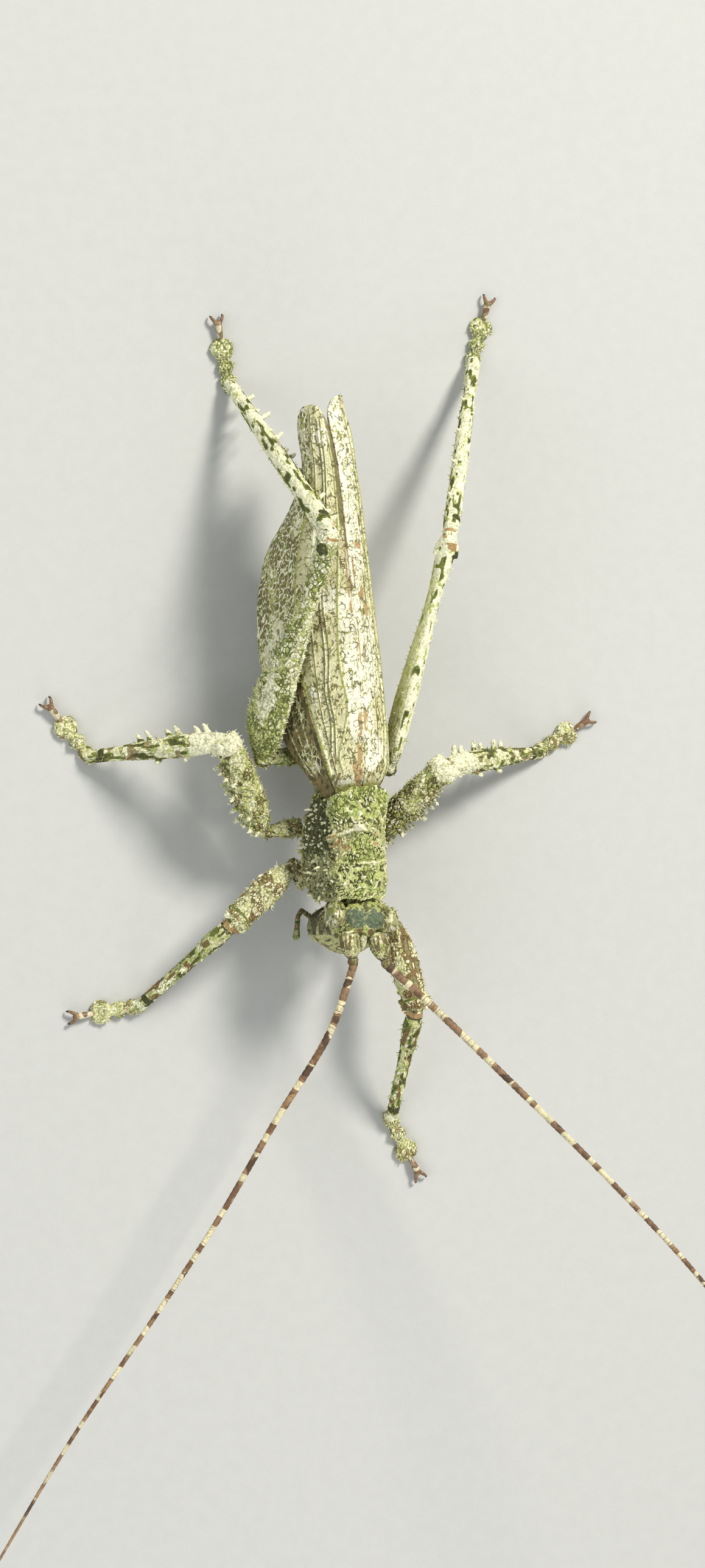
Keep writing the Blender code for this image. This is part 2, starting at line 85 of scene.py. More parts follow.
# A last mask, which smooths the granules away.
BALD = "bald"
BUMP_DEPTH = 0.00005
# Share of a map that goes once round a form.
WRAP = 0.9


# --- patterns ---


def scatter(cell, salt):
    """A repeatable number from 0 to 1 for each whole-number cell."""
    mix = cell[..., 0] * 73856093 ^ cell[..., 1] * 19349663 ^ cell[..., 2] * 83492791 ^ salt * 2654435761
    mix = mix & 0xFFFFFFFF
    for _ in range(2):
        mix = ((mix >> 16 ^ mix) * 0x45D9F3B) & 0xFFFFFFFF
    return ((mix >> 16 ^ mix) & 0xFFFFFF) / 0xFFFFFF


def noise(points, size, salt=0):
    """Smooth blobs of about the given size, from 0 to 1."""
    scaled = points / size
    cell = np.floor(scaled).astype(np.int64)
    part = scaled - cell
    part = part * part * (3 - 2 * part)
    total = np.zeros(points.shape[:-1])
    for corner in itertools.product((0, 1), repeat=3):
        weight = np.prod(np.where(corner, part, 1 - part), axis=-1)
        total += weight * scatter(cell + np.array(corner), salt)
    return total


def cells(points, size, salt=0, flat=False):
    """How far the nearest scattered seed is, how much farther the second, and the nearest one's number."""
    scaled = points / size
    home = np.floor(scaled).astype(np.int64)
    near = np.full(points.shape[:-1], 9.0)
    second = near.copy()
    tag = np.zeros_like(near)
    steps = (-1, 0, 1)
    for offset in itertools.product(steps, steps, (0,) if flat else steps):
        cell = home + np.array(offset)
        shift = np.stack([scatter(cell, salt + k) for k in (1, 2, 3)], axis=-1)
        if flat:
            shift[..., 2] = 0
        away = np.linalg.norm(scaled - cell - shift, axis=-1)
        closer = away < near
        second = np.where(closer, near, np.minimum(second, away))
        tag = np.where(closer, scatter(cell, salt + 4), tag)
        near = np.minimum(near, away)
    return near * size, (second - near) * size, tag


def ease(low, high, value):
    """0 below low, 1 above high and smooth between them."""
    share = np.clip((value - low) / (high - low), 0, 1)
    return share * share * (3 - 2 * share)


def around(value, centre, reach):
    """1 at a centre, 0 beyond its reach."""
    return 1 - ease(0, reach, np.abs(value - centre))


def spots(points, size, salt, low=0.45, high=0.6):
    """1 inside soft-edged blobs of about the given size, 0 between them."""
    return ease(low, high, noise(points, size, salt))


def jitter(points, size, salt):
    """A small push in each direction, which changes smoothly from place to place."""
    return joined(*(noise(points, size, salt + k) for k in range(3))) - 0.5


def worms(points, size, salt):
    """Tops of small winding granules, from 0 between them to 1."""
    value = noise(points, size, salt) * 0.65 + noise(points, size / 2, salt + 7) * 0.35
    return ease(0.42, 0.56, value)


def read_table(table, at):
    """Smooth values between the rows of a table, whose first column is the place."""
    table = np.asarray(table, float)
    place, value = table[:, 0], table[:, 1:]
    slope = np.gradient(value, place, axis=0)
    at = np.clip(at, place[0], place[-1])
    k = np.clip(np.searchsorted(place, at, side="right") - 1, 0, len(place) - 2)
    run = place[k + 1] - place[k]
    s = ((at - place[k]) / run)[..., None]
    run = run[..., None]
    start = (1 + 2 * s) * (1 - s) ** 2 * value[k] + s * (1 - s) ** 2 * run * slope[k]
    return start + s**2 * (3 - 2 * s) * value[k + 1] + s**2 * (s - 1) * run * slope[k + 1]


def columns(table, at):
    """Each column of a table by itself, read at the given places."""
    values = read_table(table, at)
    return np.moveaxis(values, -1, 0)


def reach_along(points):
    """Distance along each row of points, from its first one."""
    run = np.cumsum(np.linalg.norm(np.diff(points, axis=-2), axis=-1), axis=-1)
    return np.concatenate([np.zeros((*run.shape[:-1], 1)), run], axis=-1)


# --- meshes ---

# Edge of the small cubes that each skin is melted from.
VOXELS = {
    "hindleg": 0.0615, "leg": 0.058, "claws": 0.035, "head": 0.052, "palp": 0.04, "scape": 0.042,
    "trunk": 0.095, "ovipositor": 0.05,
}


def moved(points, matrix):
    """Points carried by a matrix."""
    matrix = np.array(matrix)
    return points @ matrix[:3, :3].T + matrix[:3, 3]


def unit(vectors):
    return vectors / np.maximum(np.linalg.norm(vectors, axis=-1, keepdims=True), 1e-9)


def joined(*parts):
    """Points from their separate measures, of which some may be plain numbers."""
    return np.stack(np.broadcast_arrays(*parts), -1)


def tube(rings):
    """Points and faces of a closed form skinned through rings of the same number of points."""
    rings = np.asarray(rings, float)
    rows, count = rings.shape[:2]
    points = np.concatenate([rings.reshape(-1, 3), rings[0].mean(0)[None], rings[-1].mean(0)[None]])
    faces = []
    for a in range(rows - 1):
        for k in range(count):
            after = (k + 1) % count
            faces.append((a * count + k, a * count + after, (a + 1) * count + after, (a + 1) * count + k))
    first, last = rows * count, rows * count + 1
    for k in range(count):
        after = (k + 1) % count
        faces.append((after, k, first))
        faces.append(((rows - 1) * count + k, (rows - 1) * count + after, last))
    return points, faces


def outward(points, faces):
    """The faces, turned over if they look inwards."""
    volume = 0
    for face in faces:
        for b, c in zip(face[1:], face[2:]):
            volume += np.dot(points[face[0]], np.cross(points[b], points[c]))
    return faces if volume > 0 else [face[::-1] for face in faces]


def ellipse_rings(centres, side, up, widths, heights, count=24, squareness=2.2):
    """Rings of superellipses round the given centres."""
    turn = np.linspace(0, 2 * math.pi, count, endpoint=False)
    c, s = np.cos(turn), np.sin(turn)
    c = np.sign(c) * np.abs(c) ** (2 / squareness)
    s = np.sign(s) * np.abs(s) ** (2 / squareness)
    across = np.multiply.outer(widths, c)[..., None] * side
    above = np.multiply.outer(heights, s)[..., None] * up
    return np.asarray(centres)[:, None] + across + above


def globe(rows, count):
    """A closed ball with a radius of 1."""
    lift = np.linspace(-0.5, 0.5, rows)[1:-1] * math.pi
    return tube(ellipse_rings(joined(0, 0, np.sin(lift)), LEFT, BACK, np.cos(lift), np.cos(lift), count, 2))


def ball(centre, radii):
    """A closed ellipsoid."""
    points, faces = globe(13, 18)
    return points * np.array(radii) + np.array(centre), faces


def horn(base, tip, width, bend=(0, 0, 0), blunt=0.25):
    """A round lobe or spine from a base to a tip."""
    base, tip = np.array(base, float), np.array(tip, float)
    along = tip - base
    share = np.linspace(0, 1, 7)[:, None]
    centres = base + along * share + np.array(bend) * np.sin(share * math.pi)
    side = unit(np.cross(along, (0.3, 0.2, 1)))
    up = unit(np.cross(side, along))
    size = width * (1 - (1 - blunt) * share[:, 0] ** 1.3)
    size[-1] *= 0.5
    return tube(ellipse_rings(centres, side, up, size, size, 10, 2))


def one_skin(shapes, kind, rounds=6):
    """Closed shapes melted into one even skin: its points, faces and normals."""
    points, faces, start = [], [], 0
    for shape_points, shape_faces in shapes:
        points.append(shape_points)
        faces += [tuple(int(k) + start for k in face) for face in outward(shape_points, shape_faces)]
        start += len(shape_points)
    mesh = bpy.data.meshes.new("rough")
    mesh.from_pydata(np.concatenate(points).tolist(), [], faces)
    rough = placed("rough", mesh)
    melt = rough.modifiers.new("melt", "REMESH")
    melt.mode = "VOXEL"
    melt.voxel_size = VOXELS[kind]
    soften = rough.modifiers.new("soften", "SMOOTH")
    soften.factor = 0.5
    soften.iterations = rounds
    made = plain_mesh(rough)
    skin = mesh_arrays(made)
    bpy.data.objects.remove(rough)
    bpy.data.meshes.remove(mesh)
    bpy.data.meshes.remove(made)
    return skin


def mesh_arrays(mesh):
    """Points, four-sided faces and point normals of a mesh."""
    normals = np.empty(len(mesh.vertices) * 3)
    mesh.vertex_normals.foreach_get("vector", normals)
    corners = np.empty(len(mesh.loops), np.int64)
    mesh.loops.foreach_get("vertex_index", corners)
    return mesh_points(mesh), corners.reshape(-1, 4), normals.reshape(-1, 3)


def mesh_points(mesh):
    points = np.empty(len(mesh.vertices) * 3)
    mesh.vertices.foreach_get("co", points)
    return points.reshape(-1, 3)


def plain_mesh(source):
    """The mesh of an object with its modifiers worked out."""
    graph = bpy.context.evaluated_depsgraph_get()
    return bpy.data.meshes.new_from_object(source.evaluated_get(graph), depsgraph=graph)


def placed(name, data):
    """A new object in the scene, with the given data."""
    thing = bpy.data.objects.new(name, data)
    bpy.context.scene.collection.objects.link(thing)
    return thing


def keep(mesh, name, values, kind="FLOAT"):
    """Keeps a number or a direction at each point of a mesh."""
    kept = mesh.attributes.new(name, kind, "POINT")
    kept.data.foreach_set("value" if kind == "FLOAT" else "vector", values.astype(np.float32).ravel())


def keep_paint(mesh, paint):
    for layer, amount in paint.items():
        keep(mesh, layer, np.clip(amount, 0, 1))


def shell(outer, inner):
    """A closed wall between two grids of points."""
    rows, count = outer.shape[:2]
    points = np.concatenate([outer.reshape(-1, 3), inner.reshape(-1, 3)])
    index = np.arange(rows * count).reshape(rows, count)
    quads = np.stack([index[:-1, :-1], index[:-1, 1:], index[1:, 1:], index[1:, :-1]], -1).reshape(-1, 4)
    edge = np.concatenate([index[0, :-1], index[:-1, -1], index[-1, :0:-1], index[:0:-1, 0]])
    after = np.roll(edge, -1)
    under = rows * count
    rim = np.stack([after, edge, edge + under, after + under], -1)
    faces = np.concatenate([quads, quads[:, ::-1] + under, rim])
    corners = points[faces]
    across = np.cross(corners[:, 2] - corners[:, 0], corners[:, 3] - corners[:, 1])
    volume = np.sum(corners.mean(1) * across)
    return points, faces if volume > 0 else faces[:, ::-1]


def both_walls(paint):
    """The paint of a grid's points, for the outer and the inner wall of its shell."""
    return {layer: np.tile(amount.ravel(), 2) for layer, amount in paint.items()}


def seamless(chart, faces, axis, middle):
    """Each face's corners on a map that wraps round. A face across the seam runs on past the far edge."""
    corners = chart[faces]
    split = np.ptp(corners[..., axis], axis=1) > 0.5
    corners[..., axis] += np.where(split[:, None] & (corners[..., axis] < middle), WRAP, 0)
    return corners.reshape(-1, 2)


def add_piece(name, points, faces, material, replaced=(), paint=None, bake=None):
    """Makes a piece in metres from points in millimetres, with its paint and its map for baking."""
    mesh = bpy.data.meshes.new(name)
    mesh.from_pydata((points * MM).tolist(), [], faces.tolist() if hasattr(faces, "tolist") else faces)
    keep_paint(mesh, paint or {})
    if bake is not None:
        chart = mesh.uv_layers.new(name="OFBake")
        chart.data.foreach_set("uv", bake.astype(np.float32).ravel())
    mesh.materials.append(material)
    mesh.shade_smooth()
    return finish_piece(placed(name, mesh), replaced)


def finish_piece(piece, replaced=()):
    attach(piece, "root")
    if replaced:
        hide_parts(*replaced)
    return piece


def brushes(shape):
    """Empty coats of paint for so many points, and the two ways to put paint on them."""
    paint = {layer: np.zeros(shape) for layer in (*LAYERS, BALD)}

    def lay(layer, amount):
        """Adds paint where it is stronger than what is there."""
        paint[layer] = np.maximum(paint[layer], amount)

    def cover(layer, amount, bald=0.0):
        """Lays paint over all the other layers, and smooths the skin under it if asked."""
        for other in LAYERS:
            if other != layer:
                paint[other] = paint[other] * (1 - np.clip(amount, 0, 1))
        lay(layer, amount)
        lay(BALD, amount * bald)

    return paint, lay, cover


def strip_chart(corner_points, corner_piece, axes, gap=0.4):
    """Unwraps limbs as strips, one under another: each corner's place along and round its own limb."""
    places = np.zeros((len(corner_points), 2))
    top = gap
    longest = max(axis.length + 2 * gap for axis in axes)
    for k, axis in enumerate(axes):
        chosen = corner_piece == k
        along, turn = axis.along_and_turn(corner_points[chosen])
        turn = turn.reshape(-1, 4)
        turn = turn + np.where((turn.max(1) - turn.min(1) > math.pi)[:, None] & (turn < 0), 2 * math.pi, 0)
        girth = 2 * math.pi * axis.girth
        places[chosen, 0] = along + 2 * gap
        places[chosen, 1] = top + (turn.ravel() + math.pi) / (2 * math.pi) * girth
        top += girth * 1.5 + gap
    return places / max(longest + 2 * gap, top)


# --- materials ---


class Nodes:
    """Short ways to add and join nodes of one tree."""

    def __init__(self, tree):
        self.tree = tree
        tree.nodes.clear()

    def add(self, kind, values=None, **settings):
        node = self.tree.nodes.new(kind)
        for key, value in settings.items():
            setattr(node, key, value)
        for key, value in (values or {}).items():
            if isinstance(value, bpy.types.NodeSocket):
                self.tree.links.new(value, node.inputs[key])
            else:
                node.inputs[key].default_value = value
        return node

    def maths(self, operation, first, second=0.0, clamp=False):
        return self.add(
            "ShaderNodeMath", {0: first, 1: second}, operation=operation, use_clamp=clamp
        ).outputs[0]

    def times(self, first, second, clamp=False):
        return self.maths("MULTIPLY", first, second, clamp)

    def plus(self, first, second):
        return self.maths("ADD", first, second)

    def minus(self, first, second):
        return self.maths("SUBTRACT", first, second)

    def mix(self, share, first, second, blend="MIX"):
        values = {0: share, 6: first, 7: second}
        return self.add("ShaderNodeMix", values, data_type="RGBA", blend_type=blend).outputs[2]

    def soft_step(self, value, low, high, start=0.0, end=1.0):
        values = {"Value": value, "From Min": low, "From Max": high, "To Min": start, "To Max": end}
        return self.add("ShaderNodeMapRange", values, interpolation_type="SMOOTHSTEP").outputs[0]

    def grain(self, place, scale, detail=3.0, roughness=0.6):
        values = {"Vector": place, "Scale": scale, "Detail": detail, "Roughness": roughness}
        return self.add("ShaderNodeTexNoise", values).outputs["Fac"]

    def surface(self, values):
        """Ends a material in a Principled shader."""
        shader = self.add("ShaderNodeBsdfPrincipled", values)
        self.add("ShaderNodeOutputMaterial", {0: shader.outputs[0]})

    def mask(self, name):
        """A layer of paint, read in a material."""
        return self.add("ShaderNodeAttribute", attribute_name=name).outputs["Fac"]

    def named(self, name, kind="FLOAT_VECTOR"):
        """An attribute, read in a Geometry Nodes tree."""
        return self.add("GeometryNodeInputNamedAttribute", {"Name": name}, data_type=kind).outputs[0]

    def store(self, geometry, name, value, kind, domain="POINT"):
        values = {"Geometry": geometry, "Name": name, "Value": value}
        return self.add("GeometryNodeStoreNamedAttribute", values, data_type=kind, domain=domain).outputs[0]

    def random(self, low, high):
        """A random number or vector for each point."""
        if isinstance(high, tuple):
            return self.add("FunctionNodeRandomValue", {0: low, 1: high}, data_type="FLOAT_VECTOR").outputs[0]
        return self.add("FunctionNodeRandomValue", {2: low, 3: high}, data_type="FLOAT").outputs[1]

    def vector(self, operation, first, second):
        """Adds two vectors, or scales one."""
        values = {0: first, ("Scale" if operation == "SCALE" else 1): second}
        return self.add("ShaderNodeVectorMath", values, operation=operation).outputs[0]

    def real(self, geometry):
        return self.add("GeometryNodeRealizeInstances", {"Geometry": geometry}).outputs[0]

    def finish(self, geometry, material):
        """Ends a Geometry Nodes tree in its geometry, smooth and with its material."""
        dressed = self.add("GeometryNodeSetMaterial", {"Geometry": geometry, "Material": material}).outputs[0]
        smooth = self.add("GeometryNodeSetShadeSmooth", {"Geometry": dressed}).outputs[0]
        self.add("NodeGroupOutput", {0: smooth})


def node_group(name, kind, inputs, outputs):
    """A new node group with named sockets: the group, its helper and what comes in."""
    tree = bpy.data.node_groups.new(name, kind)
    for label, socket, value in inputs:
        made = tree.interface.new_socket(label, in_out="INPUT", socket_type=f"NodeSocket{socket}")
        if value is not None:
            made.default_value = value
    for label, socket in outputs:
        tree.interface.new_socket(label, in_out="OUTPUT", socket_type=f"NodeSocket{socket}")
    n = Nodes(tree)
    return tree, n, n.add("NodeGroupInput").outputs


def lichen_paint_group():
    """Lays the coats of lichen colour over a cream ground, draws curled strokes and raises fine granules,
    with painted shade in the crevices between them and a painted highlight on their tops.
    """
    white = (1, 1, 1, 1)
    inputs = [("Place", "Vector", None), ("Ground", "Color", white)]
    inputs += [(f"{layer.title()} Colour", "Color", white) for layer in LAYERS]
    inputs += [(layer.title(), "Float", 0.0) for layer in LAYERS]
    numbers = {
        "Crumble": 0.4, "Grain Scale": 14000.0, "Granules": 0.6, "Granule Scale": 6000.0, "Dullness": 0.7,
        "Curls": 0.0, "Curl Scale": 1900.0,
    }
    inputs += [(label, "Float", value) for label, value in numbers.items()]
    inputs += [("Crevice Shade Colour", "Color", (0, 0, 0, 1)), ("Top Highlight Colour", "Color", white)]
    outputs = (("Colour", "Color"), ("Roughness", "Float"), ("Height", "Float"))
    tree, n, source = node_group("Lichen Paint", "ShaderNodeTree", inputs, outputs)
    place, granules, curl_scale = source["Place"], source["Granules"], source["Curl Scale"]
    fine = n.grain(place, source["Grain Scale"], 4.0, 0.65)
    broad = n.grain(place, 900.0, 3.0, 0.55)
    uneven = n.minus(fine, 0.5)
    wobble = n.times(uneven, source["Crumble"])
    colour = source["Ground"]
    for layer in LAYERS:
        amount = n.soft_step(n.plus(source[layer.title()], wobble), 0.25, 0.75)
        colour = n.mix(amount, colour, source[f"{layer.title()} Colour"])
    granule = n.add("ShaderNodeTexVoronoi", {"Vector": place, "Scale": source["Granule Scale"]})
    away = n.plus(granule.outputs["Distance"], n.times(uneven, 0.3))
    dome = n.soft_step(away, 0.1, 0.62, 1.0, 0.0)
    # Painted shade: the crevices between granules darken towards the crevice shade colour.
    crevice_shade = n.times(n.soft_step(away, 0.4, 0.66), granules)
    # Painted highlight: the granule tops lighten towards the top highlight colour.
    top = n.times(n.maths("POWER", dome, 3.0), n.times(granules, 0.55))
    colour = n.mix(crevice_shade, colour, source["Crevice Shade Colour"])
    colour = n.mix(top, colour, source["Top Highlight Colour"])
    seed = n.add("ShaderNodeTexVoronoi", {"Vector": place, "Scale": curl_scale})
    bend = n.grain(place, n.times(curl_scale, 1.4), 1.0, 0.5)
    bowed = n.plus(seed.outputs["Distance"], n.times(n.minus(bend, 0.5), 1.1))
    arc = n.soft_step(n.maths("ABSOLUTE", n.minus(bowed, 0.42)), 0.05, 0.13, 1.0, 0.0)
    chosen = n.soft_step(n.grain(place, curl_scale, 1.0, 0.5), 0.45, 0.53)
    # The curled strokes are a pattern, drawn in the same dark colour as the crevice shade.
    colour = n.mix(n.times(n.times(arc, chosen), source["Curls"]), colour, source["Crevice Shade Colour"])
    shade = n.times(n.soft_step(fine, 0.25, 0.75, 0.78, 1.1), n.soft_step(broad, 0.3, 0.7, 0.88, 1.06))
    grey = n.add("ShaderNodeCombineColor", {0: shade, 1: shade, 2: shade}).outputs[0]
    rough = n.times(n.soft_step(fine, 0.3, 0.7, 0.8, 1.2), source["Dullness"], clamp=True)
    height = n.plus(n.times(fine, 0.3), n.times(dome, granules))
    shown = {"Colour": n.mix(1.0, colour, grey, "MULTIPLY"), "Roughness": rough, "Height": height}
    n.add("NodeGroupOutput", shown)
    return tree


def new_material(name):
    material = bpy.data.materials.new(name)
    material.use_nodes = True
    return material, Nodes(material.node_tree)


# Colours of each finish: cream ground, the painted layers, painted shade for the crevices between granules
# (also used for the curled strokes) and a painted highlight for granule tops.
TONES = ("ground", *LAYERS, "crevice_shade", "top")
PALETTES = {
    "wing": (
        (0.74, 0.7, 0.41), (0.97, 0.95, 0.74), (0.42, 0.42, 0.12), (0.17, 0.165, 0.04), (0.23, 0.165, 0.06),
        (0.5, 0.33, 0.15), (0.05, 0.045, 0.016), (0.12, 0.11, 0.03), (0.97, 0.95, 0.78),
    ),
    "body": (
        (0.74, 0.72, 0.38), (0.92, 0.9, 0.64), (0.5, 0.57, 0.17), (0.17, 0.2, 0.035), (0.22, 0.135, 0.05),
        (0.45, 0.28, 0.12), (0.05, 0.052, 0.014), (0.1, 0.11, 0.022), (0.92, 0.9, 0.6),
    ),
    "head": (
        (0.6, 0.57, 0.28), (0.84, 0.8, 0.52), (0.42, 0.46, 0.13), (0.1, 0.11, 0.02), (0.15, 0.095, 0.03),
        (0.1, 0.14, 0.08), (0.022, 0.022, 0.007), (0.06, 0.06, 0.016), (0.72, 0.71, 0.42),
    ),
    "spine": (
        (0.74, 0.72, 0.38), (0.88, 0.85, 0.58), (0.6, 0.63, 0.24), (0.46, 0.46, 0.17), (0.5, 0.38, 0.17),
        (0.55, 0.38, 0.18), (0.3, 0.26, 0.1), (0.2, 0.16, 0.05), (0.9, 0.88, 0.62),
    ),
    "feeler": (
        (0.28, 0.165, 0.085), (0.78, 0.7, 0.44), (0.4, 0.36, 0.12), (0.25, 0.2, 0.08), (0.17, 0.09, 0.045),
        (0.38, 0.24, 0.12), (0.08, 0.042, 0.022), (0.1, 0.055, 0.027), (0.5, 0.36, 0.2),
    ),
    "eye": (
        (0.31, 0.28, 0.12), (0.82, 0.78, 0.56), (0.36, 0.38, 0.13), (0.15, 0.17, 0.04), (0.13, 0.07, 0.025),
        (0.3, 0.15, 0.05), (0.02, 0.013, 0.008), (0.1, 0.09, 0.03), (0.7, 0.68, 0.42),
    ),
    "horn": (
        (0.36, 0.24, 0.12), (0.7, 0.62, 0.42), (0.3, 0.3, 0.1), (0.2, 0.16, 0.06), (0.2, 0.1, 0.045),
        (0.3, 0.13, 0.05), (0.035, 0.02, 0.012), (0.08, 0.05, 0.02), (0.6, 0.45, 0.25),
    ),
}
# Each finish: palette, crumble, grain scale, granules, granule scale, bump, gloss, coat, dullness and curls.
FINISHES = {
    "wing_membrane": ("wing", 0.4, 16000.0, 0.25, 7500.0, 0.35, 0.4, 0.05, 0.62, 0.85),
    "lichen_skin": ("body", 0.45, 13000.0, 0.5, 6200.0, 0.8, 0.35, 0.0, 0.7, 0.75),
    "pronotum_skin": ("body", 0.35, 13000.0, 0.4, 8500.0, 0.7, 0.35, 0.0, 0.7, 0.35),
    "head_cuticle": ("head", 0.4, 12000.0, 0.35, 7500.0, 0.7, 0.4, 0.05, 0.6, 0.3),
    "pale_spine": ("spine", 0.3, 12000.0, 0.15, 9000.0, 0.2, 0.4, 0.0, 0.7, 0.0),
    "ringed_feeler": ("feeler", 0.4, 12000.0, 0.2, 9000.0, 0.3, 0.4, 0.0, 0.6, 0.3),
    "eye_facets": ("eye", 0.3, 20000.0, 0.25, 24000.0, 0.3, 0.6, 0.8, 0.2, 0.0),
    "claw_horn": ("horn", 0.3, 9000.0, 0.15, 8000.0, 0.2, 0.5, 0.2, 0.45, 0.0),
}


def finish(name):
    """The material of one finish, made the first time that it is asked for."""
    return bpy.data.materials.get(name) or painted_cuticle(name)


def painted_cuticle(name):
    """Cuticle that shows the skin's own paint layers."""
    palette, crumble, grain_scale, granules, granule_scale = FINISHES[name][:5]
    bump, gloss, coat, dullness, curls = FINISHES[name][5:]
    colours = getattr(bpy.context.scene.katydid, palette)
    material, n = new_material(name)
    bald = n.mask(BALD)
    values = {
        "Place": n.add("ShaderNodeTexCoord").outputs["Object"],
        "Crumble": crumble,
        "Grain Scale": grain_scale,
        "Granule Scale": granule_scale,
        "Dullness": dullness,
        "Granules": n.times(n.minus(1.0, bald), granules),
        "Curls": n.times(n.minus(1.0, n.times(bald, 0.7)), curls),
    }
    for layer in LAYERS:
        values[layer.title()] = n.mask(layer)
        values[f"{layer.title()} Colour"] = (*getattr(colours, layer), 1)
    # The crevice colour is painted shade and the granule top colour is a painted highlight.
    for socket, tone in (("Ground", "ground"), ("Crevice Shade Colour", "crevice_shade"), ("Top Highlight Colour", "top")):
        values[socket] = (*getattr(colours, tone), 1)
    group = bpy.data.node_groups.get("Lichen Paint") or lichen_paint_group()
    paint = n.add("ShaderNodeGroup", values, node_tree=group).outputs
    relief = {"Strength": bump, "Distance": BUMP_DEPTH, "Height": paint["Height"]}
    raised = n.add("ShaderNodeBump", relief).outputs[0]
    shown = {"Base Color": paint["Colour"], "Roughness": paint["Roughness"], "Normal": raised}
    n.surface({**shown, "Specular IOR Level": gloss, "Coat Weight": coat})
    return material


# --- wings ---

# Place, ridge height, how far out and down the shoulder is, how far out and down the hem is.
WING_STATIONS = (
    (-1.3, 2.5, 1.5, 0.7, 2.0, 2.2), (0.0, 3.1, 1.95, 0.75, 2.5, 2.7), (0.75, 3.55, 2.35, 0.9, 2.95, 3.4),
    (3.0, 4.0, 2.8, 1.4, 3.7, 5.4), (6.0, 4.1, 3.0, 1.9, 4.1, 7.2), (9.0, 4.1, 3.0, 2.2, 4.3, 8.0),
    (12.5, 4.05, 2.95, 2.3, 4.3, 8.2), (15.8, 3.95, 2.75, 2.15, 4.0, 7.8), (18.5, 3.8, 2.5, 1.75, 3.5, 6.7),
    (21.2, 3.6, 2.1, 1.2, 2.5, 4.4), (24.0, 3.35, 1.75, 0.9, 1.75, 2.8), (26.6, 3.05, 1.7, 0.65, 1.9, 2.3),
    (28.5, 2.75, 1.5, 0.55, 1.95, 1.95), (29.8, 2.5, 1.4, 0.45, 1.8, 1.6),
)
WING_FRONT = -1.3
WING_TIPS = {"left": 29.65, "right": 28.95}
WING_INNER_TIPS = {"left": -0.3, "right": 0.45}
WING_WALL = 0.3
WING_ROWS, WING_COLUMNS = 336, 112

# Veins along each wing: colour, width, and (place, share across) points.
WING_VEINS = {
    "right": (
        ("green", 0.2, ((0.75, 0.5), (2, 0.505), (4, 0.52), (6, 0.55),
            (8, 0.58), (9.7, 0.59), (16, 0.6), (22, 0.56))),
        ("olive", 0.09, ((2.3, 0.42), (5.3, 0.35), (7, 0.37), (10, 0.335),
            (14, 0.345), (19, 0.3), (24, 0.3), (28, 0.3))),
        ("olive", 0.07, ((2.3, 0.36), (5.3, 0.31), (7, 0.33), (10, 0.29),
            (14, 0.31), (19, 0.26), (24, 0.24), (28, 0.2))),
        ("green", 0.1, ((1.2, 0.3), (2, 0.32), (4, 0.225), (5.5, 0.16),
            (9.4, 0.19), (14, 0.155), (19, 0.1), (27, 0.1))),
        ("olive", 0.06, ((0.9, 0.4), (6, 0.44), (12, 0.45), (20, 0.43), (28.4, 0.5))),
        ("white", 0.1, ((1, 0.68), (8, 0.68), (16, 0.68), (22, 0.68), (28, 0.7))),
        ("white", 0.09, ((1, 0.78), (10, 0.76), (20, 0.78), (27, 0.84))),
        ("white", 0.09, ((1, 0.88), (10, 0.86), (20, 0.88), (26, 0.93))),
    ),
    "left": (
        ("green", 0.12, ((0.75, 0.4), (5, 0.43), (10, 0.5), (20, 0.5), (28, 0.5))),
        ("green", 0.12, ((0.75, 0.3), (5, 0.34), (10, 0.36), (18, 0.36), (28, 0.34))),
        ("olive", 0.07, ((2, 0.2), (8, 0.22), (16, 0.22), (28, 0.18))),
        ("green", 0.12, ((1, 0.55), (8, 0.6), (16, 0.62), (27, 0.66))),
        ("white", 0.09, ((1, 0.7), (10, 0.72), (20, 0.74), (27, 0.8))),
        ("white", 0.09, ((1, 0.85), (10, 0.85), (20, 0.86), (26, 0.92))),
    ),
}
# Marks on the wings: side, colour, place, share across, half length, half width in millimetres.
WING_MARKS = (
    ("right", "accent", 0.8, 0.09, 0.8, 0.4), ("right", "accent", 2.6, 0.06, 1.2, 0.2),
    ("right", "accent", 4.7, 0.02, 0.9, 0.24), ("right", "brown", 1.5, 0.13, 1.0, 0.12),
    ("right", "brown", 3.6, 0.07, 1.3, 0.1), ("left", "accent", 16.2, 0.05, 1.6, 0.16),
    ("left", "accent", 11.0, 0.03, 1.8, 0.14), ("right", "accent", 16.0, 0.03, 2.0, 0.14),
    ("right", "accent", 13.5, 0.02, 0.5, 0.2), ("right", "brown", 12.4, 0.33, 0.4, 0.3),
    ("left", "accent", 18.2, 0.2, 0.35, 0.8), ("left", "accent", 14.4, 0.15, 0.5, 0.5),
    ("left", "accent", 13.2, 0.2, 0.6, 0.4), ("left", "accent", 5.0, 0.02, 1.0, 0.3),
    ("left", "brown", 10.0, 0.1, 1.2, 0.3), ("left", "brown", 20.0, 0.3, 0.7, 0.3),
)


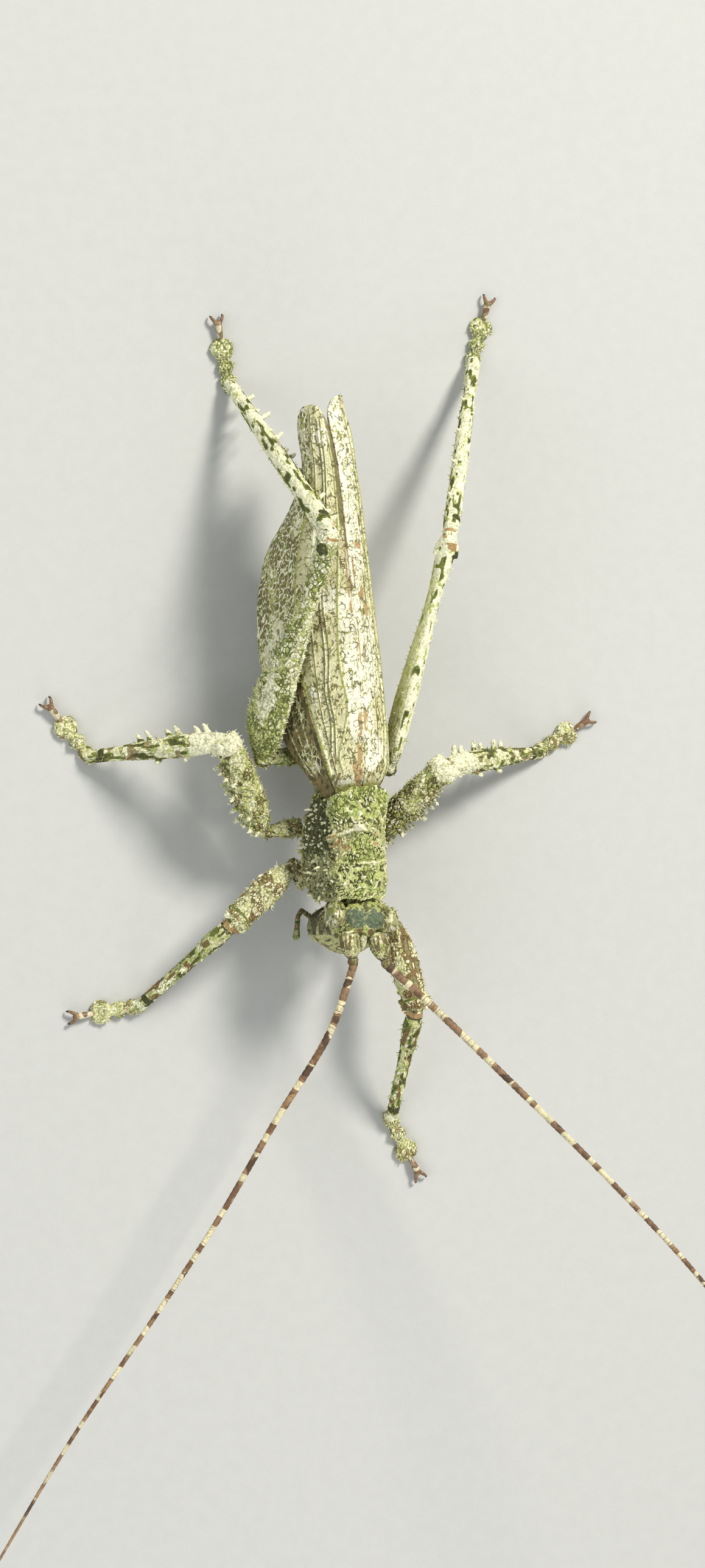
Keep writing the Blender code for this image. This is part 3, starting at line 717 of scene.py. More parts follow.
def wing_surface(side):
    """Mid-line points of one folded forewing on a grid, with each point's place and share across."""
    share = np.linspace(0, 1, WING_ROWS)[:, None]
    t = np.linspace(0, 1, WING_COLUMNS)[None] + 0 * share
    corner = 1 - (1 - np.abs(2 * t - 1) ** 3.2) ** (1 / 2.4)
    y = WING_FRONT + share * (WING_TIPS[side] - 2.3 * corner - WING_FRONT)
    ridge, shoulder, shoulder_drop, hem, hem_drop = columns(WING_STATIONS, y)
    inner = 0.05 + (WING_INNER_TIPS[side] - 0.05) * ease(24, 29, y)
    wave = np.sin(2 * math.pi * t)
    roof = t <= 0.5
    x_roof = inner + (shoulder - inner) * 2 * t + 0.16 * wave
    x_flank = shoulder + (hem - shoulder) * (2 * t - 1) - 0.08 * wave
    x = np.where(roof, x_roof, x_flank)
    drop_flank = shoulder_drop + (hem_drop - shoulder_drop) * (2 * t - 1) + 0.064 * wave
    drop = np.where(roof, shoulder_drop * 2 * t - 0.2 * wave, drop_flank)
    if side == "left":
        x = x * (1 + 0.1 * around(y, 24, 5))
    return joined(x, y, ridge - drop), y, t


def paint_wing(side, y, t, across, scale):
    """Relief and paint of a wing's net of veins. Scale turns a share across into millimetres."""
    salt = 100 if side == "right" else 300
    flat = joined(y, across, 0)
    wander = joined(noise(flat, 1.1, salt), noise(flat, 1.1, salt + 1), 0.5) - 0.5
    bent = flat + wander * 0.55
    paint, lay, _ = brushes(y.shape)
    height = np.zeros_like(y)
    flank = ease(0.5, 0.62, t)
    tips = ease(22, 26, y)

    _, gap, tag = cells(bent * (0.55, 1, 1), 0.46, salt + 10, True)
    _, fine_gap, fine_tag = cells(bent * (0.6, 1, 1), 0.3, salt + 15, True)
    gap, tag = np.where(flank > 0.5, (fine_gap, fine_tag), (gap, tag))
    net = ease(0.07, 0.015, gap) * (1 - (1 - flank) * 0.7 * spots(flat, 0.7, salt + 33, 0.5, 0.62))
    small, _, small_tag = cells(bent * (0.55, 1, 1), 0.17, salt + 20, True)
    fleck = ease(0.065, 0.03, small) * (small_tag < 0.55)
    patchy = noise(flat, 2.4, salt + 30)
    cloudy = noise(flat * (0.5, 1, 1), 0.9, salt + 31)
    base = 1 - ease(3, 8, y)

    filled = (tag < 0.25 + 0.7 * flank - 0.15 * tips) * ease(0.02, 0.08, gap)
    lay("green", filled * (0.35 + 0.65 * flank) * ease(0.35, 0.6, cloudy + 0.3 * flank))
    lay("olive", filled * (0.25 + 0.7 * flank) * ease(0.4, 0.5, cloudy + (tag - 0.5) * 0.5))
    lay("brown", filled * flank * (tag < 0.5) * ease(0.45, 0.6, cloudy + 0.35 * base) * 0.9)
    lay("dark", filled * flank * (tag < 0.35) * ease(0.45, 0.6, patchy + 0.3 * base) * 0.9)
    lay("brown", flank * base * ease(0.25, 0.5, patchy) * 0.8)
    lay("olive", net * (1 - flank) * 0.9 * ease(0.3, 0.5, cloudy))
    lay("green", net * (1 - flank) * 0.9)
    lay("brown", fleck * (0.9 - 0.3 * tips) * ease(0.25, 0.45, cloudy) * (1 - 0.6 * flank))
    strokes = noise(flat * (0.35, 1, 1), 0.12, salt + 32)
    lay("brown", ease(0.7, 0.78, strokes) * (1 - flank) * ease(0.35, 0.5, patchy) * 0.95)
    lay("white", net * flank * (0.9 - 0.5 * base))
    lay("white", (1 - flank) * ease(0.5, 0.7, patchy) * 0.8 * (1 - net))
    lay("green", ease(0.7, 0.0, y + 0.6 * (cloudy - 0.5)) * 0.8)
    height += net * 0.05 - filled * 0.03 + (cloudy - 0.5) * 0.05

    for colour, width, route in WING_VEINS[side]:
        at = read_table(route, y)[..., 0]
        inside = ease(route[0][0] - 0.3, route[0][0] + 0.3, y) * ease(
            route[-1][0] + 0.3, route[-1][0] - 0.6, y
        )
        apart = np.abs(t - at) * scale
        line = ease(width * 0.4 + 0.06, width * 0.4, apart) * inside
        beside = ease(width + 0.12, width, apart) * inside
        for layer in ("olive", "dark", "brown"):
            paint[layer] *= 1 - line
        lay(colour, line)
        lay("white", (beside - line) * 0.7 * (1 - flank))
        height = np.maximum(height, line * (0.05 + width * 0.45))
    if side == "right":
        # A brown wedge beside the bold green vein; the dark laid over it towards the base is painted shade.
        wedge = around(t, read_table(WING_VEINS[side][0][2], y)[..., 0] + 0.055, 0.055)
        lay("brown", wedge * ease(9.6, 8.2, y))
        lay("dark", wedge * ease(8, 6, y) * ease(0.35, 0.55, cloudy) * 0.8)
        lay("white", ease(0.17, 0.12, t) * ease(2.6, 4, y) * ease(16, 13.5, y))
        lay("olive", ease(0.1, 0.05, t) * ease(18.5, 20, y) * 0.75)
        lay("brown", ease(0.03, 0.01, t) * ease(4, 5, y))
        lay("white", around(t, 0.42, 0.07) * ease(16, 17.5, y) * ease(22, 20.5, y))
    else:
        lay("white", ease(0.34, 0.25, t) * ease(15, 17, y))
        lay("white", ease(0.2, 0.12, t) * ease(1, 2, y) * 0.8)
    crumbs = noise(flat, 0.35, salt + 40)
    for owner, colour, place, at, half_length, half_width in WING_MARKS:
        if owner == side:
            away = np.hypot((y - place) / half_length, (t - at) * scale / half_width)
            lay(colour, 1 - ease(0.65, 1.15, away + (crumbs - 0.5) * 0.9))
    for layer in ("brown", "olive", "dark"):
        paint[layer] *= 1 - 0.6 * paint["white"] * (1 - flank)
    return height, paint


def build_wing(side):
    sheet, y, t = wing_surface(side)
    across = reach_along(sheet)
    scale = np.gradient(across, axis=1) * (WING_COLUMNS - 1)
    height, paint = paint_wing(side, y, t, across, scale)
    normal = unit(np.cross(np.gradient(sheet, axis=1), np.gradient(sheet, axis=0)))
    normal *= np.sign(normal[..., 2:].mean())
    mirror = np.array([SIDES[side], 1, 1])
    outer = (sheet + normal * (height - 0.05)[..., None]) * mirror
    points, faces = shell(outer, (sheet - normal * WING_WALL) * mirror)
    place = np.concatenate([joined(y / 31, across / 22).reshape(-1, 2)] * 2)
    place[y.size :, 1] += 0.5
    bake, replaced, points = place[faces.ravel()], (f"tegmen_{side}",), moved(points, TRUNK)
    paint, membrane = both_walls(paint), finish("wing_membrane")
    add_piece(f"wing_{side}", points, faces, membrane, replaced, paint, bake)


# --- legs ---

# At a share of each length: half width, half depth and how far the belly hangs.
FEMORA = {
    "fore": (
        (-0.03, 0.34, 0.34, 0), (0.1, 0.56, 0.56, 0), (0.26, 0.94, 0.96, 0), (0.52, 1.08, 1.12, 0),
        (0.84, 0.96, 1.0, 0), (1.0, 0.76, 0.76, 0), (1.04, 0.46, 0.46, 0),
    ),
    "mid": (
        (-0.03, 0.4, 0.4, 0), (0.14, 0.9, 0.92, 0), (0.5, 1.12, 1.16, 0), (0.82, 0.96, 1.04, 0),
        (1.0, 0.78, 0.8, 0), (1.04, 0.5, 0.5, 0),
    ),
    "hind": (
        (-0.01, 0.46, 0.6, 0.1), (0.08, 0.8, 1.42, 0.45), (0.2, 0.86, 1.76, 0.72), (0.36, 0.82, 1.52, 0.58),
        (0.54, 0.7, 1.07, 0.25), (0.74, 0.56, 0.76, 0.05), (0.92, 0.7, 0.84, 0), (1.0, 0.66, 0.74, 0),
        (1.02, 0.45, 0.5, 0),
    ),
}
TIBIAE = {
    "fore": (
        (-0.03, 0.44, 0.46, 0), (0.03, 0.6, 0.6, 0), (0.1, 0.68, 0.66, 0), (0.2, 0.74, 0.68, 0),
        (0.36, 0.58, 0.56, 0), (0.7, 0.5, 0.5, 0), (1, 0.5, 0.46, 0),
    ),
    "mid": (
        (-0.03, 0.5, 0.5, 0), (0.04, 0.66, 0.64, 0), (0.12, 0.8, 0.78, 0), (0.34, 0.88, 0.84, 0),
        (0.64, 0.7, 0.66, 0), (0.88, 0.52, 0.5, 0), (1, 0.5, 0.46, 0),
    ),
    "hind": (
        (-0.01, 0.5, 0.52, 0), (0.07, 0.6, 0.7, 0), (0.3, 0.62, 0.74, 0), (0.6, 0.58, 0.68, 0),
        (0.88, 0.5, 0.54, 0), (0.95, 0.56, 0.54, 0), (1, 0.5, 0.48, 0),
    ),
}
COXA = (
    (0, 0.75, 0.75, 0), (0.45, 0.68, 0.7, 0), (0.8, 0.5, 0.52, 0), (0.9, 0.6, 0.62, 0), (1, 0.52, 0.55, 0)
)
# Distance along the foot, half width and height of its pads.
FOOT = (
    (-0.35, 0.42, 0.9), (0.0, 0.52, 0.95), (0.5, 0.62, 0.92), (0.95, 0.5, 0.7), (1.1, 0.42, 0.62),
    (1.4, 0.6, 0.78), (1.9, 0.62, 0.72), (2.2, 0.42, 0.55), (2.6, 0.78, 0.68), (3.2, 0.96, 0.6),
    (3.75, 0.7, 0.46), (3.95, 0.4, 0.3),
)
# How far each femur's flat side leans to the animal's left, in degrees.
LEANS = {
    "foreleg_left": -10,
    "foreleg_right": 20,
    "midleg_left": -10,
    "midleg_right": 25,
    "hindleg_left": -8,
    "hindleg_right": 40,
}
# Finger-like lobes of each limb: share of its length, length, width, and turn: 0 outwards, 90 upwards.
LOBES = {
    ("foreleg", "femur"): tuple(
        (0.14 + 0.055 * k, 0.14, 0.2, 170 * (k % 2) + 8 * (k % 3)) for k in range(16)
    ),
    ("foreleg", "tibia"): ((0.34, 0.35, 0.16, 80), (0.52, 0.3, 0.14, 100), (0.7, 0.3, 0.13, 80)),
    ("midleg", "femur"): tuple(
        (0.02 + 0.048 * k, 0.5 + 0.16 * (k * 5 % 3), 0.19, 22 * (k * 3 % 4) - 40) for k in range(17)
    ),
    ("midleg", "tibia"): tuple(
        (0.06 + 0.07 * k, 0.5 + 0.2 * (k * 5 % 3), 0.27, (0, 180)[k % 3 > 0] + 25) for k in range(9)
    ),
    ("hindleg_left", "tibia"): tuple((0.12 + 0.09 * k, 0.34, 0.16, 60 + 90 * (k % 2)) for k in range(9)),
    ("hindleg_right", "tibia"): tuple(
        (0.07 + 0.068 * k, 0.8 + 0.18 * (k * 5 % 3), 0.25, 136 + 24 * (k % 2)) for k in range(13)
    ),
}


def node_points(name):
    """The separate corners of one solid, in millimetres."""
    points = np.array([vertex.co for vertex in frame["nodes"][name].data.vertices]) / MM
    return np.unique(np.round(points, 4), axis=0)


def meeting_point(first, second, reach=0.8):
    """Where two neighbouring solids meet."""
    a, b = node_points(first), node_points(second)
    apart = np.linalg.norm(a[:, None] - b[None], axis=2)
    return (a[apart.min(1) < reach].mean(0) + b[apart.min(0) < reach].mean(0)) / 2


def far_end(name, point, share=0.12):
    """The middle of the corners of a solid that are farthest from a point."""
    points = node_points(name)
    away = np.linalg.norm(points - point, axis=1)
    return points[away > away.max() * (1 - share)].mean(0)


def on_floor(point):
    """The place on the floor under a point."""
    return point * (1, 1, 0)


def leftward(heading):
    """The level direction to the left of a level heading."""
    return np.array([-heading[1], heading[0], 0])


class Limb:
    """A straight limb between two joints, with its own outward and upward directions."""

    def __init__(self, kind, start, end, upright, shape, sign):
        self.kind = kind
        self.start, self.end = np.asarray(start), np.asarray(end)
        self.length = float(np.linalg.norm(self.end - self.start))
        self.along = unit(self.end - self.start)
        self.out = unit(np.cross(self.along, upright)) * sign
        self.up = unit(upright - self.along * np.dot(upright, self.along))
        self.shape = shape
        self.girth = float(np.mean([row[1] + row[2] for row in shape]) / 2)

    def rings(self, rows=60, count=28):
        t = np.linspace(self.shape[0][0], self.shape[-1][0], rows)
        width, depth, belly = columns(self.shape, t)
        centres = self.start + (self.end - self.start) * t[:, None] - self.up * belly[:, None]
        return ellipse_rings(centres, self.out, self.up, width, depth, count, 2.15)

    def local(self, points):
        """Share of the length, and millimetres along, outwards and upwards from the axis."""
        away = points - self.start
        along = away @ self.along
        t = along / self.length
        belly = read_table(self.shape, t)[..., 2]
        return t, along, away @ self.out, away @ self.up + belly

    def along_and_turn(self, points):
        _, along, out, up = self.local(points)
        return np.clip(along, -0.3, self.length + 0.3), np.arctan2(up, out)

    def nearness(self, points):
        t, along, out, up = self.local(points)
        beyond = np.maximum(0, np.maximum(-along, along - self.length))
        width, depth, _ = columns(self.shape, t)
        return np.hypot(out / width, up / depth) + beyond * 1.5

    def point(self, t, turn, rise=0.0):
        """A point on the limb's surface at a turn in degrees, from outwards (0) to upwards (90)."""
        width, depth, belly = read_table(self.shape, np.array([t]))[0]
        turn = math.radians(turn)
        reach_out, reach_up = math.cos(turn) * (width + rise), math.sin(turn) * (depth + rise)
        return self.start + (self.end - self.start) * t + self.out * reach_out + self.up * (reach_up - belly)


def foot_shapes(start, heading):
    """Three lobed pads, flat underneath and standing on the floor."""
    side = leftward(heading)
    at = np.linspace(FOOT[0][0], FOOT[-1][0], 70)
    width, height = columns(FOOT, at)
    centres = start + heading * at[:, None] + UP * (height * 0.42)[:, None]
    rings = ellipse_rings(centres, side, UP, width, height * 0.58, 28, 2.3)
    rings[..., 2] = np.maximum(rings[..., 2], 0.02)
    shapes = [tube(rings)]
    for sign in (1, -1):
        for place, size in ((0.55, 0.3), (1.65, 0.3), (2.95, 0.42)):
            centre = start + heading * (place + 0.15) + side * sign * size * 1.25 + UP * 0.3
            shapes.append(ball(centre, (size, size, 0.28)))
    return shapes


def leg_limbs(name):
    """The limbs of one leg, read from its solids."""
    pair, side = name.split("leg_")
    sign = SIDES[side]
    lean = math.radians(LEANS[name])
    upright = np.array([math.sin(lean), 0, math.cos(lean)])
    hip = meeting_point(f"{name}_coxa", f"{name}_femur")
    knee = meeting_point(f"{name}_femur", f"{name}_tibia")
    ankle = meeting_point(f"{name}_tibia", f"{name}_tarsus")
    root = far_end(f"{name}_coxa", hip)
    toe = far_end(f"{name}_tarsus", ankle)
    ankle[2] = 0.72
    heading = unit(on_floor(toe - ankle))
    foot_start = on_floor(toe) - heading * 3.8
    foot_shape = ((0, 0.55, 0.5, 0), (0.5, 0.6, 0.45, 0), (1, 0.8, 0.4, 0))
    foot_end = foot_start + heading * 3.95 + (0, 0, 0.3)
    return [
        Limb("coxa", root, hip, upright, COXA, sign),
        Limb("femur", hip, knee, upright, FEMORA[pair], sign),
        Limb("tibia", knee, ankle, upright, TIBIAE[pair], sign),
        Limb("foot", foot_start + (0, 0, 0.35), foot_end, UP, foot_shape, sign),
    ]


def leg_shapes(name, limbs):
    """The closed forms that melt into one leg."""
    pair = name.split("leg_")[0]
    coxa, femur, tibia, foot = limbs
    shapes = [tube(limb.rings()) for limb in (coxa, femur, tibia)]
    shapes += foot_shapes(on_floor(foot.start), on_floor(foot.along))
    hip_size = 0.5 if pair != "hind" else 0.68
    shapes.append(ball(femur.start, (hip_size,) * 3))
    shapes.append(ball(femur.end, (0.56, 0.56, 0.56)))
    shapes.append(ball(tibia.end, (0.42, 0.42, 0.42)))
    for sign in (0, 180):
        base = femur.point(0.95, sign, -0.15)
        shapes.append(horn(base - femur.along * 0.5, base + femur.along * 0.75, 0.42, femur.up * 0.05, 0.5))
    for (owner, kind), lobes in LOBES.items():
        limb = {"femur": femur, "tibia": tibia}[kind]
        for place, length, width, turn in lobes if name.startswith(owner) else ():
            base = limb.point(place, turn, -0.15)
            rise = limb.out * math.cos(math.radians(turn)) + limb.up * math.sin(math.radians(turn))
            tip = base + (rise + limb.along * (0.6 if kind == "tibia" else -0.1)) * (length + 0.15)
            shapes.append(horn(base, tip, width, limb.along * -0.05, 0.6))
    for k in range(5):
        turn = -90 + (k % 2) * 24 - 12
        base = femur.point(0.3 + 0.13 * k, turn, -0.12)
        length = {"fore": 0.3, "mid": 0.45, "hind": 0.4}[pair]
        tip = base - femur.up * length + femur.along * 0.2
        shapes.append(horn(base, tip, 0.17, (0, 0, 0), 0.3))
    return shapes


# How each limb is covered: island size, gap, relief, and the shares of green, white and dark islands.
COVERS = {
    # The coxa's large share of dark islands is painted shade, for the hip in the shade of the body.
    "coxa": (0.26, 0.07, 0.04, 0.3, 0.05, 0.5),
    "foot": (0.24, 0.06, 0.04, 0.25, 0.5, 0.04),
    "fore_femur": (0.27, 0.08, 0.08, 0.12, 0.8, 0.0),
    "mid_femur": (0.28, 0.07, 0.08, 0.45, 0.48, 0.02),
    "hind_femur": (0.34, 0.07, 0.05, 0.3, 0.65, 0.0),
    "fore_tibia": (0.34, 0.06, 0.03, 0.3, 0.45, 0.08),
    "mid_tibia": (0.34, 0.05, 0.04, 0.15, 0.75, 0.02),
    "hind_tibia": (0.4, 0.03, 0.03, 0.05, 0.9, 0.0),
    "hindleg_left_femur": (0.34, 0.03, 0.02, 0.1, 0.88, 0.0),
}
# Marks on the legs: leg, limb, colour, share along, turn or None for all round, half length, half width.
LEG_MARKS = (
    ("foreleg", "tibia", "accent", 0.035, None, 0.28, 0), ("foreleg", "tibia", "dark", 0.06, None, 0.1, 0),
    ("foreleg", "tibia", "olive", 0.15, 20, 0.7, 0.3), ("foreleg", "tibia", "olive", 0.15, 160, 0.7, 0.3),
    ("foreleg", "tibia", "dark", 0.9, None, 0.3, 0), ("foreleg", "tibia", "white", 0.97, None, 0.3, 0),
    ("foreleg", "femur", "brown", 0.86, 60, 0.4, 0.4), ("foreleg", "femur", "olive", 0.92, None, 0.12, 0),
    ("midleg", "femur", "white", 0.98, None, 0.8, 0), ("midleg", "tibia", "white", 0.12, None, 1.5, 0),
    ("midleg", "tibia", "dark", 0.9, None, 0.3, 0), ("hindleg", "femur", "white", 0.99, None, 0.55, 0),
    ("hindleg", "femur", "accent", 0.985, 70, 0.14, 0.7),
    ("hindleg", "femur", "accent", 1.01, 140, 0.2, 0.35), ("hindleg", "femur", "dark", 0.93, 10, 0.55, 0.6),
    ("hindleg", "tibia", "white", 0.03, None, 0.5, 0), ("hindleg", "tibia", "accent", 0.02, 100, 0.16, 0.5),
    ("hindleg", "tibia", "dark", 0.09, 60, 0.3, 0.5), ("hindleg", "tibia", "white", 0.95, None, 0.5, 0),
    ("hindleg_right", "femur", "white", 0.27, 0, 2.2, 0.8),
    ("hindleg_right", "femur", "white", 0.42, 88, 3.4, 0.14),
    ("hindleg_left", "femur", "accent", 0.97, 60, 0.3, 0.5),
)


def cover_limb(name, limb, points, salt):
    """Relief and paint of the lichen cover on one limb's share of the skin."""
    pair = name.split("leg_")[0]
    paint, lay, cover = brushes(len(points))
    height = np.zeros(len(points))
    found = [key for key in (f"{name}_{limb.kind}", f"{pair}_{limb.kind}", limb.kind) if key in COVERS]
    size, gap, relief, greens, whites, darks = COVERS[found[0]]
    pale_femur = found[0] == "hindleg_left_femur"
    t, along, out, up = limb.local(points)
    turn = np.arctan2(up, out)
    stretched = joined(along * 0.7, out, up)
    bend = jitter(stretched, 0.7, salt)
    bent = stretched + bend * 0.5
    _, apart, tag = cells(bent, size, salt + 10)
    island = ease(gap * 0.35, gap * 1.25, apart)
    grain = worms(points, 0.14, salt + 20)
    patch = noise(points, 1.6, salt + 30)
    moss = 0.0
    if limb.kind in ("femur", "coxa") and not pale_femur:
        moss = {"fore": 0.1, "mid": 0.5, "hind": 0.5}[pair] * ease(0.4, 0.6, patch)
        if pair == "hind":
            outer = ease(0.0, 0.4, out)
            moss = np.maximum(moss * ease(0.45, 0.3, t), 0.7 * ease(0.3, 0.12, t)) * (0.15 + 0.85 * outer)
    shifted = np.mod(tag + (patch - 0.5) * 0.5, 1)
    lay("green", island * (shifted < greens))
    lay("white", island * (shifted > 1 - whites) * (1 - 0.7 * moss))
    lay("dark", island * (tag > 1 - darks) * 0.9)
    network = (1 - island) * spots(points, 0.9, salt + 31, 0.3, 0.55)
    strong = {"femur": 0.85, "coxa": 1.0, "tibia": 0.6, "foot": 0.7}[limb.kind] * (1 - 0.7 * pale_femur)
    lay("olive" if pair == "hind" or limb.kind == "tibia" else "brown", network * strong)
    if limb.kind == "femur" and pair == "mid":
        lay("dark", network * 0.6 * spots(points, 1.3, salt + 34, 0.4, 0.6))
    lay("olive", (1 - grain) * np.maximum(moss, 0.25 * (limb.kind != "tibia") * (not pale_femur)) * 0.95)
    lay("dark", (1 - grain) * moss * spots(points, 1.0, salt + 35, 0.4, 0.65) * 0.85)
    lay("green", grain * moss * 0.9)
    if limb.kind == "tibia" or pale_femur:
        streak = noise(joined(along * 0.38, out, up), 0.26, salt + 32)
        fewer = 0.08 * pale_femur + 0.07 * (name == "hindleg_left")
        lay("olive", ease(0.57 + fewer, 0.63 + fewer, streak) * 0.95)
        lay("dark", ease(0.68 + fewer, 0.74 + fewer, streak) * 0.6)
        browns = {"fore": 0.8, "mid": 0.6, "hind": 0.25}[pair]
        lay("brown", spots(stretched, 0.45, salt + 33, 0.66, 0.72) * browns)
    if pale_femur:
        inner = ease(0.05, 0.4, -out / 0.7) * ease(0.04, 0.12, t) * ease(0.92, 0.8, t)
        cover("green", inner * 0.42, 1)
        lay("olive", inner * 0.3 * spots(joined(along * 0.1, out, up), 0.2, salt + 60, 0.55, 0.7))
        lay("white", (1 - inner) * ease(0.05, 0.15, t) * 0.75)
        lay(BALD, ease(0.05, 0.15, t) * 0.9)
        height -= inner * relief
    if name == "foreleg_left" and limb.kind == "femur":
        folds = noise(joined(along * 0.3, out, up), 0.42, salt + 36)
        cover("brown", ease(0.48, 0.56, folds) * 0.9, 0.5)
        cover("dark", ease(0.62, 0.7, folds) * 0.5)
        lay(BALD, 0.5)
    if limb.kind in ("tibia", "femur"):
        lobe = ease(1.2, 1.5, limb.nearness(points))
        cover("white", lobe * 0.8, 0.7)
    if limb.kind == "tibia":
        lay(BALD, 0.6 + 0.25 * (pair == "hind"))
    crumbs = noise(points, 0.3, salt + 40)
    for owner, kind, colour, place, facing, half_length, half_width in LEG_MARKS:
        if kind != limb.kind or not name.startswith(owner):
            continue
        away = np.abs(along - place * limb.length) / half_length
        if facing is not None:
            swing = np.angle(np.exp(1j * (turn - math.radians(facing))))
            away = np.hypot(away, swing * np.hypot(out, up) / half_width)
        amount = 1 - ease(0.6, 1.15, away + (crumbs - 0.5) * 0.9)
        cover(colour, amount * 0.95, 0.6)
        if colour == "white":
            lay("olive", amount * (1 - grain) * (0.3 if pair == "mid" else 0.5))
    height += island * relief + grain * (0.03 + 0.05 * moss)
    height += (noise(points, 0.8, salt + 50) - 0.5) * relief * 1.6
    return paint, height


def leg_spines(name, limb, points):
    """Where spinelets stand on a limb, from 0 to 1, and the way they lean."""
    pair = name.split("leg_")[0]
    t, _, out, up = limb.local(points)
    turn = np.degrees(np.arctan2(up, out))
    above, below = around(turn, 90, 40), around(turn, -90, 45)
    edges = {"fore": (0.9, 0.9), "mid": (1.0, 0.9), "hind": (0.35, 1.0)}[pair]
    amount = np.maximum(above * edges[0], below * edges[1])
    if limb.kind == "femur":
        amount = np.maximum(amount, 0.25 + 0.35 * (pair == "mid"))
        if pair == "hind":
            amount *= 1 - 0.7 * ease(0.85, 0.95, t)
    elif limb.kind == "tibia":
        amount = np.maximum(amount * {"fore": 0.8, "mid": 0.7, "hind": 0.35}[pair], 0.12)
    elif limb.kind == "coxa":
        amount = np.full_like(t, 0.4)
    else:
        amount = np.where(up > -0.05, 0.4, 0.0)
    if name == "hindleg_left" and limb.kind == "femur":
        amount *= 0.25
    return amount, np.repeat(limb.along[None], len(t), 0)


def build_leg(name, number):
    limbs = leg_limbs(name)
    kind = "hindleg" if name.startswith("hind") else "leg"
    points, faces, normals = one_skin(leg_shapes(name, limbs), kind)
    owner = np.argmin([limb.nearness(points) for limb in limbs], axis=0)
    count = len(points)
    paint = brushes(count)[0]
    height, spine, lie, chart = np.zeros(count), np.zeros(count), np.zeros((count, 3)), np.zeros((count, 2))
    for k, limb in enumerate(limbs):
        chosen = np.flatnonzero(owner == k)
        part_paint, height[chosen] = cover_limb(name, limb, points[chosen], 1000 * (number + 1))
        for layer, amount in part_paint.items():
            paint[layer][chosen] = amount
        spine[chosen], lie[chosen] = leg_spines(name, limb, points[chosen])
    sole = ease(0.12, 0.3, points[:, 2])
    spread = points + normals * ((height - 0.06) * sole)[:, None]
    spread[:, 2] = np.maximum(spread[:, 2], 0.0)
    corners = faces.ravel()
    bake = strip_chart(points[corners], np.repeat(owner[faces[:, 0]], 4), limbs)
    chart[corners] = bake
    replaced = [f"{name}_{kind}" for kind in ("coxa", "femur", "tibia", "tarsus")]
    skin = add_piece(name, spread, faces, finish("lichen_skin"), replaced, paint, bake)
    keep_roots(skin, spine * sole, lie, chart)


def keep_roots(skin, spine, lie, chart):
    """Keeps on the skin what its coat of spines needs: how dense, which way, and each root's map place."""
    keep(skin.data, "spine", spine)
    keep(skin.data, "lie", np.broadcast_to(lie, (len(spine), 3)), "FLOAT_VECTOR")
    keep(skin.data, "root_place", np.pad(chart, ((0, 0), (0, 1))), "FLOAT_VECTOR")


# --- spines ---


def spine_coat_tree():
    """Scatters bent spinelets over a skin, where its spine attribute allows, leaning along its lie."""
    inputs = (
        ("Geometry", "Geometry", None), ("Density", "Float", 6.0e6), ("Length", "Float", 0.00025),
        ("Thickness", "Float", 0.00004), ("Bluntness", "Float", 0.0), ("Lean", "Float", 0.5),
        ("Unevenness", "Float", 0.5), ("Patch", "Float", 0.003), ("Seed", "Int", 1),
        ("Material", "Material", None),
    )
    outputs = (("Geometry", "Geometry"),)
    tree, n, source = node_group("Spine Coat", "GeometryNodeTree", inputs, outputs)
    length, thickness, uneven = source["Length"], source["Thickness"], source["Unevenness"]
    density = n.times(n.named("spine", "FLOAT"), source["Density"])
    spread = {"Mesh": source["Geometry"], "Density": density, "Seed": source["Seed"]}
    roots = n.add("GeometryNodeDistributePointsOnFaces", spread, distribute_method="RANDOM").outputs
    leaning = n.vector("SCALE", n.named("lie"), source["Lean"])
    stray = n.random((-0.35, -0.35, -0.35), (0.35, 0.35, 0.35))
    aim = n.vector("ADD", n.vector("ADD", roots["Normal"], leaning), stray)
    turned = n.add("FunctionNodeAlignRotationToVector", {"Vector": aim}, axis="Z").outputs[0]
    spin = {"Axis": (0, 0, 1), "Angle": n.random(0.0, 2 * math.pi)}
    twist = n.add("FunctionNodeAxisAngleToRotation", spin).outputs[0]
    twisted = {"Rotation": turned, "Rotate By": twist}
    facing = n.add("FunctionNodeRotateRotation", twisted, rotation_space="LOCAL").outputs[0]
    form = {"Vertices": 5, "Side Segments": 2, "Radius Bottom": thickness, "Depth": length}
    form["Radius Top"] = n.times(thickness, source["Bluntness"])
    thorn = n.add("GeometryNodeMeshCone", form, fill_type="TRIANGLE_FAN").outputs["Mesh"]
    place = n.add("GeometryNodeInputPosition").outputs[0]
    rise = n.add("ShaderNodeSeparateXYZ", {0: place}).outputs[2]
    share = n.maths("DIVIDE", rise, length)
    bow = n.times(n.maths("POWER", n.maths("MAXIMUM", share, 0.0), 2.0), n.times(length, 0.35))
    offset = n.add("ShaderNodeCombineXYZ", {0: bow, 2: n.times(length, -0.12)}).outputs[0]
    bent = n.add("GeometryNodeSetPosition", {"Geometry": thorn, "Offset": offset}).outputs[0]
    spot = n.add("ShaderNodeCombineXYZ", {0: share, 1: n.times(share, 0.5)}).outputs[0]
    spotted = n.store(bent, "spot", spot, "FLOAT_VECTOR")
    size = n.random(n.minus(1.0, uneven), n.plus(1.0, uneven))
    stand = {"Points": roots["Points"], "Instance": spotted, "Rotation": facing, "Scale": size}
    thorns = n.add("GeometryNodeInstanceOnPoints", stand).outputs[0]
    patch = n.vector("SCALE", n.named("spot"), source["Patch"])
    chart = n.vector("ADD", n.named("root_place"), patch)
    n.finish(n.store(n.real(thorns), "OFBake", chart, "FLOAT2", "CORNER"), source["Material"])
    return tree


